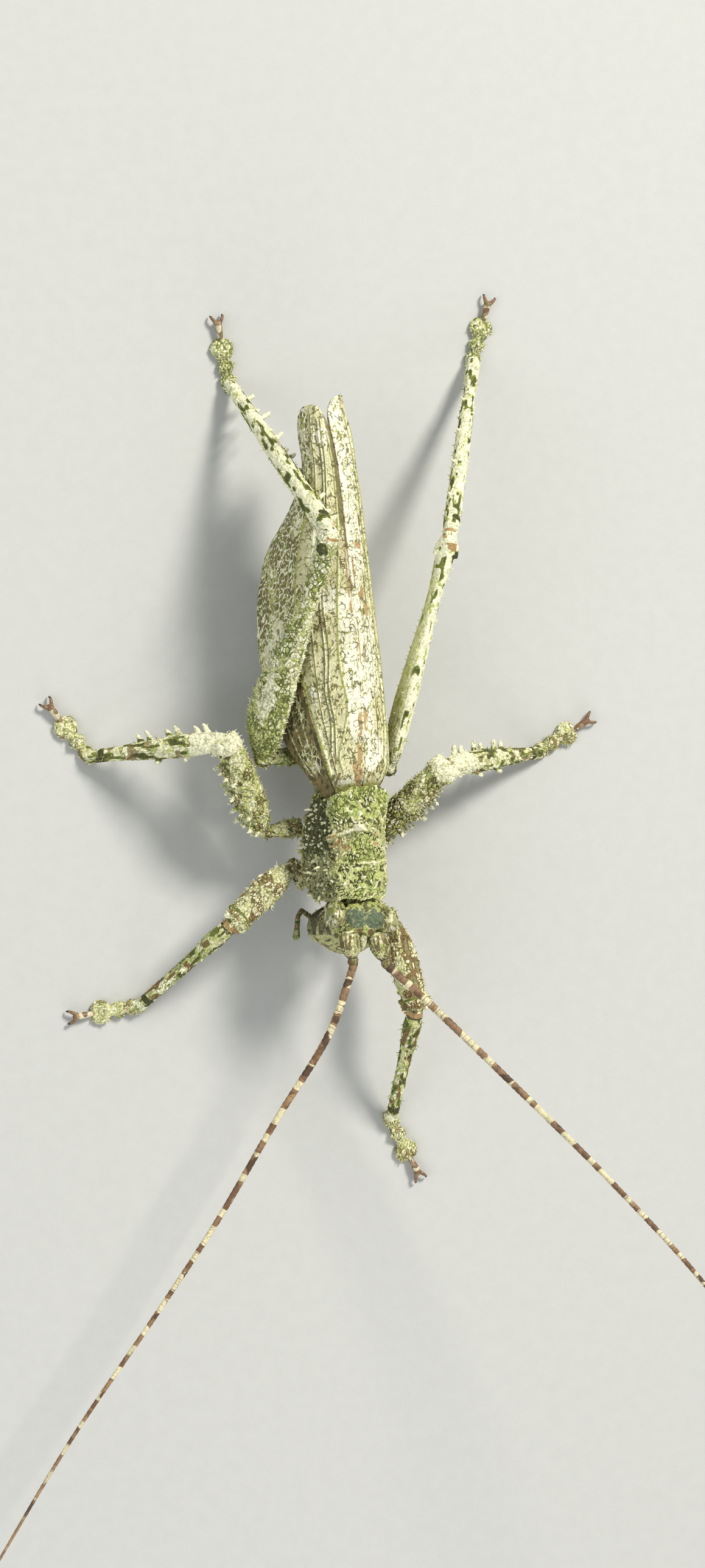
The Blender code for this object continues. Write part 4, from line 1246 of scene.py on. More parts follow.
def grown(source, tree, **settings):
    """The plain mesh that a Geometry Nodes tree makes from an object."""
    modifier = source.modifiers.new(tree.name, "NODES")
    modifier.node_group = tree
    for socket in tree.interface.items_tree:
        if socket.item_type == "SOCKET" and socket.in_out == "INPUT" and socket.name in settings:
            modifier[socket.identifier] = settings[socket.name]
    mesh = plain_mesh(source)
    source.modifiers.remove(modifier)
    return mesh


def add_coat(skin, name, **settings):
    """Grows spines on a skin as a piece of their own, on top of the skin's own layers of paint."""
    tree = bpy.data.node_groups.get("Spine Coat") or spine_coat_tree()
    mesh = grown(skin, tree, Material=finish("pale_spine"), **settings)
    for spare in ("lie", "root_place", "spot", "spine", "lobes"):
        if spare in mesh.attributes:
            mesh.attributes.remove(mesh.attributes[spare])
    mesh.name = name
    finish_piece(placed(name, mesh))


SMALL_SPINES = {"Density": 1.6e7, "Length": 0.00014, "Thickness": 0.00004, "Bluntness": 0.3, "Lean": 0.25}
SADDLE_LOBES = {"Density": 5.0e6, "Length": 0.00038, "Thickness": 0.00011, "Bluntness": 0.45, "Lean": 0.1}


def grow_spines(settings):
    """Spinelets on every skin that has roots for them, and blunt lobes along the saddle's lower edge."""
    leg = {
        "Density": settings.spine_density, "Length": settings.spine_length,
        "Thickness": settings.spine_thickness,
    }
    skins = dict.fromkeys(LEANS, leg)
    skins.update(dict.fromkeys(("pronotum_shield", "head_skin", "trunk_skin"), SMALL_SPINES))
    for name, sizes in skins.items():
        add_coat(bpy.data.objects[name], f"{name}_spines", **sizes)
    saddle = bpy.data.objects["pronotum_shield"]
    saddle.data.attributes["spine"].data.foreach_set("value", read_layer(saddle.data, "lobes"))
    add_coat(saddle, "pronotum_lobes", Seed=5, **SADDLE_LOBES)


# --- pronotum ---

# Place, half width of the back, top, half width at the lobes' edge, bottom.
PRONOTUM = (
    (-8.6, 1.75, 3.0, 2.25, -1.3), (-7.6, 1.9, 3.2, 2.6, -1.9), (-5.6, 1.92, 3.05, 2.72, -2.2),
    (-3.2, 1.82, 3.4, 2.6, -2.1), (-1.6, 2.02, 3.5, 2.5, -1.5), (-0.05, 2.2, 3.7, 2.45, -0.4),
)
PRONOTUM_ROWS, PRONOTUM_COLUMNS = 168, 250
PRONOTUM_WALL = 0.3
CREST = (-0.6, -3.05)
SULCUS = -5.75


def pronotum_surface():
    """The saddle's outer surface on a grid, from the left lobe's edge over the back to the right one's."""
    rows = []
    share = np.linspace(-1, 1, PRONOTUM_COLUMNS)
    for y in np.linspace(PRONOTUM[0][0], PRONOTUM[-1][0], PRONOTUM_ROWS):
        back, top, lobe, bottom = read_table(PRONOTUM, np.array(y))
        half = np.array([
            (lobe, bottom), (lobe + 0.12, bottom * 0.55), (lobe - 0.02, top * 0.25), (back, top - 0.75),
            (back * 0.5, top - 0.2), (0, top),
        ])
        whole = np.concatenate([half, half[-2::-1] * (-1, 1)])
        reach = reach_along(whole)
        reach = reach / reach[-1] * 2 - 1
        x, z = columns(np.column_stack([reach, whole]), share)
        rows.append(joined(x, y, z))
    sheet = np.array(rows)
    x, y, z = np.moveaxis(sheet, -1, 0)
    scallop = (noise(joined(x, 0, z), 0.5, 740) - 0.5) * 0.3
    behind, ahead = ease(-1.2, -0.05, y), ease(-8.0, -8.6, y)
    swept = ease(-4, -0.05, y) * 0.5 * np.minimum(1.3, np.abs(x) / 2) ** 2.2
    sheet[..., 1] += (behind - ahead) * scallop - swept
    return sheet


def paint_pronotum(sheet):
    """Relief, paint and spine strength of the saddle: granules, crest, furrows, stains and painted shade on
    the flanks.
    """
    x, y, z = np.moveaxis(sheet, -1, 0)
    paint, lay, cover = brushes(x.shape)
    patch = noise(sheet, 1.5, 700)
    wander = jitter(sheet, 0.4, 720)
    flat = joined(reach_along(sheet) + wander[..., 0] * 0.4, y * 0.6 + wander[..., 1] * 0.4, 0)
    _, gap, tag = cells(flat, 0.23, 701, True)
    merged = spots(sheet, 0.3, 709, 0.55, 0.7)
    grain = np.maximum(ease(0.035, 0.085, gap), 0.7 * merged)
    height = grain * (0.09 + 0.1 * tag) + noise(sheet, 0.9, 702) * 0.1
    # Painted shade on the lower flanks: it reaches higher on the animal's right side and is deepest towards
    # the rear.
    lift = np.where(x < 0, 1.1, 0)
    flank = ease(1.5 + lift, 0.6 + lift, z + 1.2 * (noise(sheet, 0.9, 710) - 0.5))
    flank_shade = flank * (0.75 + 0.25 * ease(-5.4, -4.2, y))
    lay("green", grain * (tag < 0.72) * (0.6 + 0.4 * ease(0.3, 0.5, patch)))
    lay("white", grain * (tag > 0.86) * 0.85)
    lay("olive", 1 - grain)
    lay("dark", ease(0.6, 0.2, grain) * spots(sheet, 0.8, 707, 0.4, 0.55) * 0.75)

    stain = ease(0.1, 0.5, around(y, -4.1, 1.8) * around(x, -2.1, 1.5) * 1.7) * (
        0.5 + 0.5 * ease(0.35, 0.6, patch)
    )
    cover("brown", stain * (0.1 + 0.75 * (1 - grain)), 0.4)
    lay("accent", stain * spots(sheet * (0.5, 1.5, 1), 0.35, 708, 0.45, 0.65) * 0.9)
    dots, _, dot_tag = cells(sheet, 0.34, 706)
    spot = ease(0.13, 0.07, dots) * (dot_tag < 0.8)
    # Painted shade laid over the flanks, with pale tubercle dots on it.
    cover("dark", flank_shade * (1 - 0.35 * grain), 0.3)
    cover("white", spot * flank_shade)
    cover("dark", flank * (1 - flank_shade) * (1 - grain) * 0.8)
    height += spot * flank_shade * 0.12

    cap = np.hypot(x - CREST[0], y - CREST[1])
    apart = np.abs(x - CREST[0])
    bend = CREST[1] - 0.05 - 0.42 * apart
    ridge = around(y, bend, 0.24) * ease(2.2, 1.5, apart) * (z > 1.2)
    height += 0.6 * np.exp(-((cap / 0.24) ** 2)) + 0.15 * np.exp(-((cap / 0.8) ** 2)) + ridge * 0.2
    streak = spots(sheet * (0.45, 1.8, 1), 0.3, 705, 0.42, 0.6)
    white_reach = np.where(x < CREST[0], 1.1, 0.8)
    fan = around(y, bend - 0.55, 0.7) * around(apart, 1.4, 0.8) * (z > 0.8)
    cover("accent", fan * streak * 0.85, 1)
    cover("accent", ridge * ease(white_reach, white_reach + 0.5, apart) * (0.4 + 0.5 * streak), 1)
    inside = 1 - ease(white_reach - 0.3, white_reach + 0.3, apart + 0.4 * (streak - 0.5))
    cover("white", ridge * (0.7 + 0.3 * streak) * inside, 1)
    cover("white", np.minimum(1, np.exp(-((cap / 0.34) ** 2)) * 1.6), 1)
    behind = around(y, bend + 0.36, 0.22) * ease(1.8, 1.0, apart)
    cover("dark", behind * 0.75 * (1 - grain))
    keel = around(x, CREST[0], 0.1) * ease(0.35, 0.6, cap) * (y < CREST[1]) * (y > SULCUS - 0.2)
    height += keel * 0.07
    cover("white", keel * 0.6 * ease(1.4, 0.9, cap))

    bow = 0.04 * x**2
    height -= around(y, SULCUS + 0.12 + bow, 0.2) * 0.15 + around(y, -7.9 + bow, 0.2) * 0.05
    lip = around(y, SULCUS - 0.1 + bow, 0.13) * (z > 1.6) * (x > -1.6)
    height += lip * 0.06
    cover("white", lip * (0.35 + 0.4 * ease(0.35, 0.6, patch)), 0.8)
    cover("olive", around(y, SULCUS + 0.12 + bow, 0.1) * (z > 1.4) * (x > -1.6) * 0.8)

    # Painted shade in brown along the front edge, between the granules, and a brown notch mark.
    rim = ease(-8.35, -8.55, y)
    notch = around(y, -8.25, 0.2) * around(x, 0.25, 0.3)
    cover("brown", np.maximum(rim * (1 - grain) * 0.8, notch * 0.8))
    edge = np.abs(np.linspace(-1, 1, x.shape[1]))[None] + 0 * x
    lobe_hem = ease(0.965, 0.985, edge)
    cover("green", lobe_hem * (0.4 + 0.4 * grain) * (y < -2.5))
    height = height * (1 - 0.6 * lobe_hem) + lobe_hem * 0.07
    marks = np.clip(stain + ridge + fan + around(y, SULCUS, 0.35) * (z > 1.4), 0, 1)
    spines = (0.06 + 0.25 * flank) * grain * ease(-0.2, -0.4, y) * (1 - marks)
    lobes = ease(0.9, 0.94, edge) * (y < -1.5) + flank * (1 - flank_shade) * 0.5
    return height, paint, spines, lobes


def build_pronotum():
    sheet = pronotum_surface()
    height, paint, spines, lobes = paint_pronotum(sheet)
    normal = unit(np.cross(np.gradient(sheet, axis=0), np.gradient(sheet, axis=1)))
    normal *= np.sign(normal[..., 2][sheet[..., 2] > 3].mean())
    points, faces = shell(sheet + normal * (height - 0.12)[..., None], sheet - normal * PRONOTUM_WALL)
    chart = joined((sheet[..., 1] + 8.7) / 8.9, np.linspace(0, 0.49, PRONOTUM_COLUMNS)).reshape(-1, 2)
    chart = np.concatenate([chart, chart + (0, 0.5)])
    bake, points, paint = chart[faces.ravel()], moved(points, FRONT), both_walls(paint)
    material, replaced = finish("pronotum_skin"), ("pronotum",)
    skin = add_piece("pronotum_shield", points, faces, material, replaced, paint, bake)
    lie = FRONT.to_3x3() @ Vector((0, 0.5, 0.3))
    bare = np.zeros(lobes.size)
    keep_roots(skin, np.concatenate([spines.ravel(), bare]), lie, chart)
    keep(skin.data, "lobes", np.concatenate([lobes.ravel(), bare]))


# --- head ---

# Height, front, back, half width of the head's level slices.
HEAD_SLICES = (
    (2.85, -10.4, -9.0, 0.6), (2.6, -11.1, -8.8, 1.5), (2.0, -11.6, -8.75, 1.9), (1.2, -12.0, -8.75, 2.15),
    (0.2, -12.35, -8.75, 2.35), (-1.2, -12.3, -8.8, 2.3), (-2.4, -11.8, -8.9, 1.9),
    (-3.3, -11.25, -9.1, 1.45),
)
EYE_PLACE = (2.4, -9.95, 1.95)
EYE_RADIUS = 0.72
SCAPE_ROOT = (1.15, -10.85, 2.2)


def mirrored(place, sign):
    """A place on the head, on the left side (1) or the right one (-1)."""
    return np.array((place[0] * sign, place[1], place[2]), float)


# Rounded masses of the head on its middle line, and those in pairs: centre and radii.
MIDDLE_MASSES = (
    ((0, -11.95, -0.4), (1.5, 0.62, 1.9)), ((0, -11.75, -2.75), (1.05, 0.42, 0.5)),
    ((0, -11.4, -3.55), (0.85, 0.32, 0.62)), ((0, -12.0, 1.6), (0.2, 0.2, 0.7)),
    ((0.2, -9.0, 2.25), (1.6, 0.55, 0.55)),
)
PAIRED_MASSES = (
    ((0.72, -9.8, 2.55), (0.85, 0.9, 0.42)), ((2.0, -9.95, 1.93), (0.34, 0.84, 0.84)),
    ((1.95, -9.3, 1.2), (0.55, 0.75, 1.3)), ((1.75, -10.6, -1.3), (0.72, 1.3, 1.7)),
    ((0.85, -10.8, -3.6), (0.55, 0.6, 0.8)), ((0.45, -10.95, -4.3), (0.42, 0.4, 0.42)),
)


def head_shapes():
    """The closed forms that melt into the head: capsule, neck, brow, face, cheeks, jaws and sockets."""
    z = np.linspace(HEAD_SLICES[0][0], HEAD_SLICES[-1][0], 60)[::-1]
    front, back, half = columns(HEAD_SLICES[::-1], z)
    capsule = ellipse_rings(joined(0, (front + back) / 2, z), LEFT, BACK, half, (back - front) / 2, 40, 2.3)
    y = np.linspace(-9.4, -7.4, 8)
    neck = ellipse_rings(joined(0, y, 0.4), LEFT, UP, 0 * y + 1.55, 0 * y + 2.0, 30, 2.1)
    shapes = [tube(capsule), tube(neck), horn((0, -10.9, 2.6), (0.05, -12.2, 2.5), 0.3, (0, 0, 0.05), 0.45)]
    shapes += [ball(centre, radii) for centre, radii in MIDDLE_MASSES]
    for sign in (1, -1):
        shapes += [ball(mirrored(centre, sign), radii) for centre, radii in PAIRED_MASSES]
        socket = mirrored(SCAPE_ROOT, sign) + (0, 0.05, 0.1)
        for turn in np.linspace(0, 2 * math.pi, 12, endpoint=False):
            rim = (0.6 * math.cos(turn), 0.35 * math.sin(turn), 0.5 * math.sin(turn))
            shapes.append(ball(socket + rim, (0.17, 0.2, 0.17)))
    return shapes


def paint_head(points):
    """Relief and paint of the head: slate lobes, granules, eye rings, olive face, painted shade on the
    cheeks, grooves and mouth.
    """
    x, y, z = points.T
    paint, lay, cover = brushes(len(points))
    wander = jitter(points, 0.5, 820)
    grain = worms(points, 0.14, 801)
    coarse = worms(points + wander * 0.2, 0.22, 802)
    patch = noise(points, 1.2, 803)
    top = ease(1.6, 2.3, z)
    face = ease(-11.2, -11.6, y) * ease(1.9, 1.3, z)
    cheek = ease(1.6, 0.9, z) * (1 - face)
    height = coarse * 0.07 * (1 - 0.4 * face) + grain * 0.02
    lay("green", coarse * 0.8)
    lay("white", coarse * spots(points, 0.45, 804, 0.5, 0.62) * (1 - face))
    lay("brown", (1 - coarse) * (1 - face) * (1 - 0.6 * top))
    lay("olive", (1 - coarse) * np.maximum(top, ease(0.45, 0.6, patch)))
    lay("olive", face * (1 - coarse) * (0.6 + 0.4 * ease(0.35, 0.65, patch)))
    lay("white", face * coarse * spots(points, 0.4, 815, 0.55, 0.65) * 0.8)
    lay("brown", face * spots(points, 0.5, 805, 0.55, 0.7))
    # Painted shade on the lower cheeks, heavier on the animal's right side, with a little on the face.
    flank = cheek * (0.55 + 0.45 * ease(0.4, -0.4, x))
    shade = np.maximum(flank, 0.3 * face) * (0.8 + 0.2 * ease(0.3, 0.6, patch))
    cover("olive", shade, 0.8)
    cover("brown", shade * spots(points, 0.8, 812) * 0.6)
    cover("dark", shade * (0.8 - 0.5 * coarse * spots(points, 0.5, 811)))

    slate = np.zeros(len(points))
    for sign, reach in ((1, 0.9), (-1, 0.85)):
        away = np.hypot((x - sign * 0.8) / reach, (y + 9.85) / 0.85)
        slate = np.maximum(slate, 1 - ease(0.85, 1.08, away + (noise(points, 0.3, 806) - 0.5) * 0.45))
    crack = around(x, -0.12 + 0.25 * (noise(points, 0.5, 807) - 0.5), 0.12) * ease(-9.6, -9.3, y + 0.3 * x)
    slate *= top * (1 - crack)
    cover("accent", slate, 0.6)
    cover("dark", slate * (1 - coarse) * 0.3)
    cover("green", slate * coarse * spots(points, 0.16, 814, 0.5, 0.62) * 0.45)
    flecks = spots(points, 0.2, 808, 0.62, 0.72) * around(x, 0.3, 0.75) * spots(points, 0.5, 813, 0.4, 0.55)
    cover("white", slate * flecks * 0.9)
    dimples = np.minimum(np.hypot(x + 0.42, y + 10.85), np.hypot(x - 0.5, y + 10.8)) * (1 + (z < 1.9))
    cover("brown", 1 - ease(0.16, 0.3, dimples))
    height += slate * (0.03 + 0.04 * grain) - crack * top * 0.05

    for sign in (1, -1):
        eye = np.linalg.norm(points - mirrored(EYE_PLACE, sign), axis=1)
        ring = around(eye, EYE_RADIUS + 0.1, 0.17)
        # Painted shade in brown on the inner front side of the ring, between the eye and the crown.
        inside = ring * ease(0.1, 0.5, 2.4 - x * sign) * ease(-9.7, -10.1, y)
        cover("white", ring * 0.65)
        cover("brown", inside * 1.2)
        height += ring * 0.04
        pit = np.hypot(x - sign * 0.5, z - 2.35) + np.maximum(0, y + 11.3)
        cover("dark", 1 - ease(0.18, 0.32, pit))
        below = around(x * sign, 1.9, 0.6) * around(z, 0.2, 1.5) * (y < -10.2)
        stripes = spots(points * (2.4, 1, 0.25), 0.4, 809, 0.52, 0.62)
        cover("green", below * (1 - stripes) * 0.6)
        cover("dark", below * stripes * 0.8)
    beak = (np.hypot(x, (z - 2.5) / 1.3) < 0.38) * ease(-11.1, -11.4, y)
    cover("white", beak)
    suture = around(z, -2.25 + 0.15 * np.cos(x * 2), 0.1) * face
    height -= suture * 0.09 + around(z, -3.15, 0.08) * (y < -10.9) * 0.06
    height -= around(x, 0, 0.07) * (z < -3.6) * 0.12
    cover("dark", suture * 0.8)
    cover("dark", ease(-4.2, -4.7, z))
    cover("green", ease(-9.4, -9.1, y) * top * coarse)
    bald = (1 - face) * (1 - slate) * ease(-3.4, -2.6, z)
    return height, paint, 0.12 * bald + 0.04 * face


def round_chart(points, faces, centre):
    """Unwraps a round form like a globe, and splits it along the back."""
    x, y, z = (points - centre).T
    turn, tilt = np.arctan2(x, -y), np.arctan2(z, np.hypot(x, y))
    chart = joined(turn / (2 * math.pi) * WRAP + 0.5, tilt / math.pi * 0.94 + 0.5)
    return chart, seamless(chart, faces, 0, 0.5)


def build_head():
    points, faces, normals = one_skin(head_shapes(), "head", 5)
    height, paint, spines = paint_head(points)
    chart, bake = round_chart(points, faces, (0, -10.4, -0.6))
    spread = moved(points + normals * (height - 0.05)[:, None], HEAD)
    skin = add_piece(
        "head_skin", spread, faces, finish("head_cuticle"), ("head", "jaws"), paint, bake
    )
    lie = HEAD.to_3x3() @ Vector((0, -0.4, 0.5))
    keep_roots(skin, spines, lie, chart)


def build_eyes():
    """Facetted globes with pale upper halves and streaked lower ones. On the right eye the cream spot is a
    painted highlight.
    """
    for side, sign in SIDES.items():
        points, faces = globe(92, 120)
        faces = outward(points, faces)
        points = points * (EYE_RADIUS * 0.96, EYE_RADIUS, EYE_RADIUS)
        x, y, z = points.T
        x = x * sign
        paint, lay, cover = brushes(len(points))
        patch = noise(points, 0.5, 850)
        rightwards = sign * 0.85 * x + 0.53 * z
        lower = ease(-0.1, -0.22, y)
        stripes = spots(joined(np.arctan2(rightwards, y), 0, 0), 0.13, 851)
        lay("green", 0.3 + 0.4 * patch)
        lay("olive", 0.35 + 0.6 * spots(points, 0.4, 852, 0.35, 0.6) * (side == "right"))
        lay("olive", lower * (0.2 + 0.8 * stripes))
        cover("white", lower * (1 - stripes) * 0.55)
        if side == "left":
            shut = ease(0.06, -0.04, rightwards) * ease(-0.22, -0.1, y)
            pale = around(rightwards, 0.2, 0.2) * ease(-0.14, 0.0, y)
        else:
            shut = around(np.hypot(rightwards - 0.08, y + 0.02), 0.0, 0.32)
            # Painted highlight: the cream spot on the right eye; the crescent on its rim is cream colour.
            pale = around(rightwards, 0.44, 0.12) * ease(-0.2, 0, y)
            pale = np.maximum(pale, 0.6 * around(rightwards, -0.5, 0.12) * ease(-0.4, -0.2, y))
        cover("brown", shut)
        cover("dark", shut * ease(0.1, 0.4, patch) * 0.7)
        # Cream marks, which on the right eye include the painted highlight.
        cover("white", pale * (1 - shut) * 0.95)
        lay(BALD, 0.5)
        place = joined(np.arctan2(y, x) / (2 * math.pi) + 0.5, z / EYE_RADIUS * 0.49 + 0.5)
        corners = np.concatenate([place[list(face)] for face in faces])
        points, replaced = moved(points + mirrored(EYE_PLACE, sign), HEAD), (f"eye_{side}",)
        add_piece(
            f"eye_globe_{side}", points, faces, finish("eye_facets"), replaced, paint, corners
        )


def build_palps():
    """Jointed palps that reach out beside the mouth, with blunt ends."""
    route = (
        (0.7, -10.5, -3.75), (1.5, -9.8, -3.85), (2.3, -9.45, -3.7), (2.65, -9.95, -3.5),
        (2.62, -10.75, -3.55), (2.55, -11.5, -3.7),
    )
    widths = (0.22, 0.2, 0.18, 0.18, 0.2, 0.27)
    for side, sign in SIDES.items():
        joints = [mirrored(place, sign) for place in route]
        shapes = []
        for a, b, thin, thick in zip(joints, joints[1:], widths, widths[1:]):
            shapes.append(horn(b, a, thick, (0, 0, 0), thin / thick))
            shapes.append(ball(b, (thick * 0.95,) * 3))
        points, faces, normals = one_skin(shapes, "palp", 4)
        paint, lay, cover = brushes(len(points))
        lay("olive", 0.45 + 0.4 * noise(points, 0.5, 860))
        lay("dark", spots(points * (1, 0.4, 1), 0.3, 861, 0.55, 0.7) * 0.8)
        cover("green", spots(points, 0.4, 862, 0.58, 0.68) * 0.8)
        for joint in joints[1:-1]:
            away = np.linalg.norm(points - joint, axis=1)
            cover("brown", ease(0.24, 0.12, np.abs(away - 0.12)))
        points = moved(points + normals * (noise(points, 0.18, 863) * 0.03)[:, None], HEAD)
        replaced = (f"palp_{side}",)
        add_piece(f"palp_skin_{side}", points, faces, finish("lichen_skin"), replaced, paint)


# --- antennae ---

FLAGELLUM_TIP = 0.0001
# Corners of each ring of the solids, and the length of one cream dash with the dark one after it.
THREAD_SIDES = 7
DASH = 2.1
# Points along a whole flagellum, and where its near length ends and its far one starts.
LINE_POINTS, LINE_SPLIT = 400, 176


def thread_line(name):
    """The centre line of one length of a flagellum, read from its solid's rings, from the head outwards."""
    points = node_points(name)
    points = points[np.argsort(-points[:, 1])]
    rings = len(points) // THREAD_SIDES
    return points[: rings * THREAD_SIDES].reshape(rings, THREAD_SIDES, 3).mean(1)


def smooth_line(points, count):
    """A smooth line through points, evenly spaced."""
    reach = reach_along(points)
    return read_table(np.column_stack([reach, points]), np.linspace(0, reach[-1], count))


def ringed_thread_tree():
    """Turns a line into a tapering thread of short rings, each waisted at its joint."""
    inputs = (
        ("Geometry", "Geometry", None), ("Ring Length", "Float", 0.00046), ("Waist", "Float", 0.16),
        ("Base Radius", "Float", 0.00032), ("Tip Radius", "Float", FLAGELLUM_TIP), ("Taper", "Float", 0.5),
        ("Sides", "Int", 12), ("Material", "Material", None),
    )
    outputs = (("Geometry", "Geometry"),)
    tree, n, source = node_group("Ringed Thread", "GeometryNodeTree", inputs, outputs)
    step = n.maths("DIVIDE", source["Ring Length"], 6.0)
    even = n.add("GeometryNodeResampleCurve", {"Curve": source["Geometry"], "Length": step}, mode="LENGTH")
    along = n.add("GeometryNodeSplineParameter").outputs
    taper = n.maths("POWER", along["Factor"], source["Taper"])
    slim = n.minus(source["Tip Radius"], source["Base Radius"])
    radius = n.plus(source["Base Radius"], n.times(taper, slim))
    ring = n.maths("FRACT", n.maths("DIVIDE", along["Length"], source["Ring Length"]))
    edge = n.maths("POWER", n.maths("ABSOLUTE", n.minus(n.times(ring, 2.0), 1.0)), 4.0)
    waisted = n.times(radius, n.minus(1.0, n.times(edge, source["Waist"])))
    sized = n.add("GeometryNodeSetCurveRadius", {"Curve": even.outputs[0], "Radius": waisted}).outputs[0]
    kept = n.store(n.store(sized, "reach", along["Length"], "FLOAT"), "ring", ring, "FLOAT")
    profile = n.add("GeometryNodeCurvePrimitiveCircle", {"Resolution": source["Sides"], "Radius": 1.0})
    sweep = {"Curve": kept, "Profile Curve": profile.outputs[0], "Fill Caps": True}
    body = n.add("GeometryNodeCurveToMesh", sweep)
    if "Scale" in body.inputs:
        tree.links.new(n.add("GeometryNodeInputRadius").outputs[0], body.inputs["Scale"])
    n.finish(n.real(body.outputs[0]), source["Material"])
    return tree


def read_layer(mesh, name):
    values = np.empty(len(mesh.vertices), np.float32)
    mesh.attributes[name].data.foreach_get("value", values)
    return values


def build_thread(name, line, radii, start, replaced, salt):
    """One length of a flagellum, with its cream dashes and dark joints."""
    curve = bpy.data.curves.new(f"{name}_line", "CURVE")
    curve.dimensions = "3D"
    spline = curve.splines.new("POLY")
    spline.points.add(len(line) - 1)
    spline.points.foreach_set("co", np.column_stack([line * MM, np.ones(len(line))]).ravel())
    guide = placed(f"{name}_line", curve)
    tree = bpy.data.node_groups.get("Ringed Thread") or ringed_thread_tree()
    settings = {
        "Base Radius": radii[0], "Tip Radius": radii[1], "Taper": 1.0, "Material": finish("ringed_feeler"),
        "Ring Length": bpy.context.scene.katydid.ring_length,
    }
    mesh = grown(guide, tree, **settings)
    bpy.data.objects.remove(guide)
    reach, ring = (read_layer(mesh, spare).astype(float) for spare in ("reach", "ring"))
    reach = reach / MM + start
    points = mesh_points(mesh) / MM
    paint, lay, cover = brushes(len(points))
    wobble = noise(joined(reach, 0, 0), 1.3, salt)
    blotch = noise(points, 0.45, salt + 1)
    fade = ease(25, 60, reach)
    dash = 0.5 + 0.5 * np.sin(2 * math.pi * (reach / DASH + wobble * 0.8))
    lay("brown", ease(0.35, 0.6, blotch))
    lay("accent", spots(points, 0.8, salt + 3, 0.55, 0.7) * 0.7)
    cover("white", ease(0.5, 0.68, dash * 0.75 + blotch * 0.35) * (1 - 0.75 * fade))
    cover("dark", spots(points, 0.9, salt + 2, 0.66, 0.76) * 0.7)
    cover("dark", around(ring, 0.0, 0.1) * 0.6)
    keep_paint(mesh, paint)
    for spare in ("reach", "ring"):
        mesh.attributes.remove(mesh.attributes[spare])
    mesh.name = name
    finish_piece(placed(name, mesh), replaced)


def build_antennae():
    for side, sign in SIDES.items():
        near, far = thread_line(f"antenna_{side}_near"), thread_line(f"antenna_{side}_far")
        line = smooth_line(np.concatenate([near, far]), LINE_POINTS)
        step = np.linalg.norm(line[1] - line[0])
        base = bpy.context.scene.katydid.feeler_radius
        middle = base * 0.55 + FLAGELLUM_TIP * 0.45
        salt = 900 + 50 * sign
        parts = {
            "near": (line[: LINE_SPLIT + 1], (base, middle), 0),
            "far": (line[LINE_SPLIT:], (middle, FLAGELLUM_TIP), LINE_SPLIT * step),
        }
        for reach, part in parts.items():
            build_thread(f"flagellum_{side}_{reach}", *part, (f"antenna_{side}_{reach}",), salt)
        build_scape(side, moved(mirrored(SCAPE_ROOT, sign)[None], HEAD)[0], line[0])


# Share of the length and radius of an antenna's first two joints.
SCAPE_OUTLINE = (
    (0, 0.42), (0.08, 0.62), (0.3, 0.76), (0.55, 0.7), (0.72, 0.52), (0.8, 0.38), (0.87, 0.44),
    (0.97, 0.38), (1.06, 0.26),
)


def build_scape(side, root, tip):
    """The thick first joint of an antenna, ridged and cream, and the small second one."""
    along = unit(tip - root)
    length = np.linalg.norm(tip - root)
    t = np.linspace(0, 1.06, 44)
    width = read_table(SCAPE_OUTLINE, t)[:, 0]
    flat_side = unit(np.cross(along, (0, 0, 1)))
    above = np.cross(flat_side, along)
    centres = root + along * length * t[:, None]
    shapes = [tube(ellipse_rings(centres, flat_side, above, width, width * 0.92, 30, 2.1))]
    for k in range(11):
        turn, at = k * 2.4, 0.08 + 0.06 * k
        rise = flat_side * math.cos(turn) + above * math.sin(turn)
        knob = root + along * length * at + rise * read_table(SCAPE_OUTLINE, np.array(at))[0] * 0.92
        shapes.append(ball(knob, (0.14, 0.14, 0.14)))
    points, faces, normals = one_skin(shapes, "scape", 4)
    t = (points - root) @ along / length
    lift = (points - root - along * length * t[:, None]) @ above
    paint, lay, cover = brushes(len(points))
    grain = worms(points, 0.17, 930)
    patch = noise(points, 0.6, 931)
    hoops = 0.5 + 0.5 * np.sin(t * 42 + 7 * noise(points, 0.6, 932) + lift * 4)
    crown = 1 - ease(0.28, 0.42, t)
    lay("white", grain * 0.6 * spots(points, 0.3, 934, 0.4, 0.6))
    lay("green", ease(0.4, 0.55, patch) * 0.7 * grain)
    lay("olive", (1 - grain) * ease(0.3, 0.5, patch))
    cover("white", crown * ease(0.1, 0.3, lift) * hoops * 0.7, 0.8)
    lay("olive", crown * ease(0.1, 0.3, lift) * (1 - hoops) * 0.5)
    aside = (points - root - along * length * t[:, None]) @ flat_side
    lengthwise = joined(aside * 1.5, lift * 1.5, t)
    outer = ease(-0.05, 0.25, -aside * SIDES[side])
    fold = noise(lengthwise, 0.3, 935)
    cover("olive", ease(0.0, -0.35, lift) * 0.8)
    cover("olive", ease(0.48, 0.56, fold) * (0.5 + 0.4 * outer))
    cover("brown", ease(0.4, 0.5, fold) * outer * (0.4 + 0.5 * ease(0.15, 0.35, t)) * 0.9, 0.5)
    cover("brown", spots(lengthwise, 0.2, 933, 0.62, 0.68) * 0.7)
    cover("brown", ease(0.78, 0.84, t) * (0.5 + 0.5 * grain))
    cover("dark", around(t, 0.8, 0.035))
    points = points + normals * (grain * 0.03 + crown * hoops * 0.03 - 0.03)[:, None]
    replaced = (f"antenna_{side}_scape",)
    add_piece(f"scape_{side}", points, faces, finish("head_cuticle"), replaced, paint)


# --- trunk ---

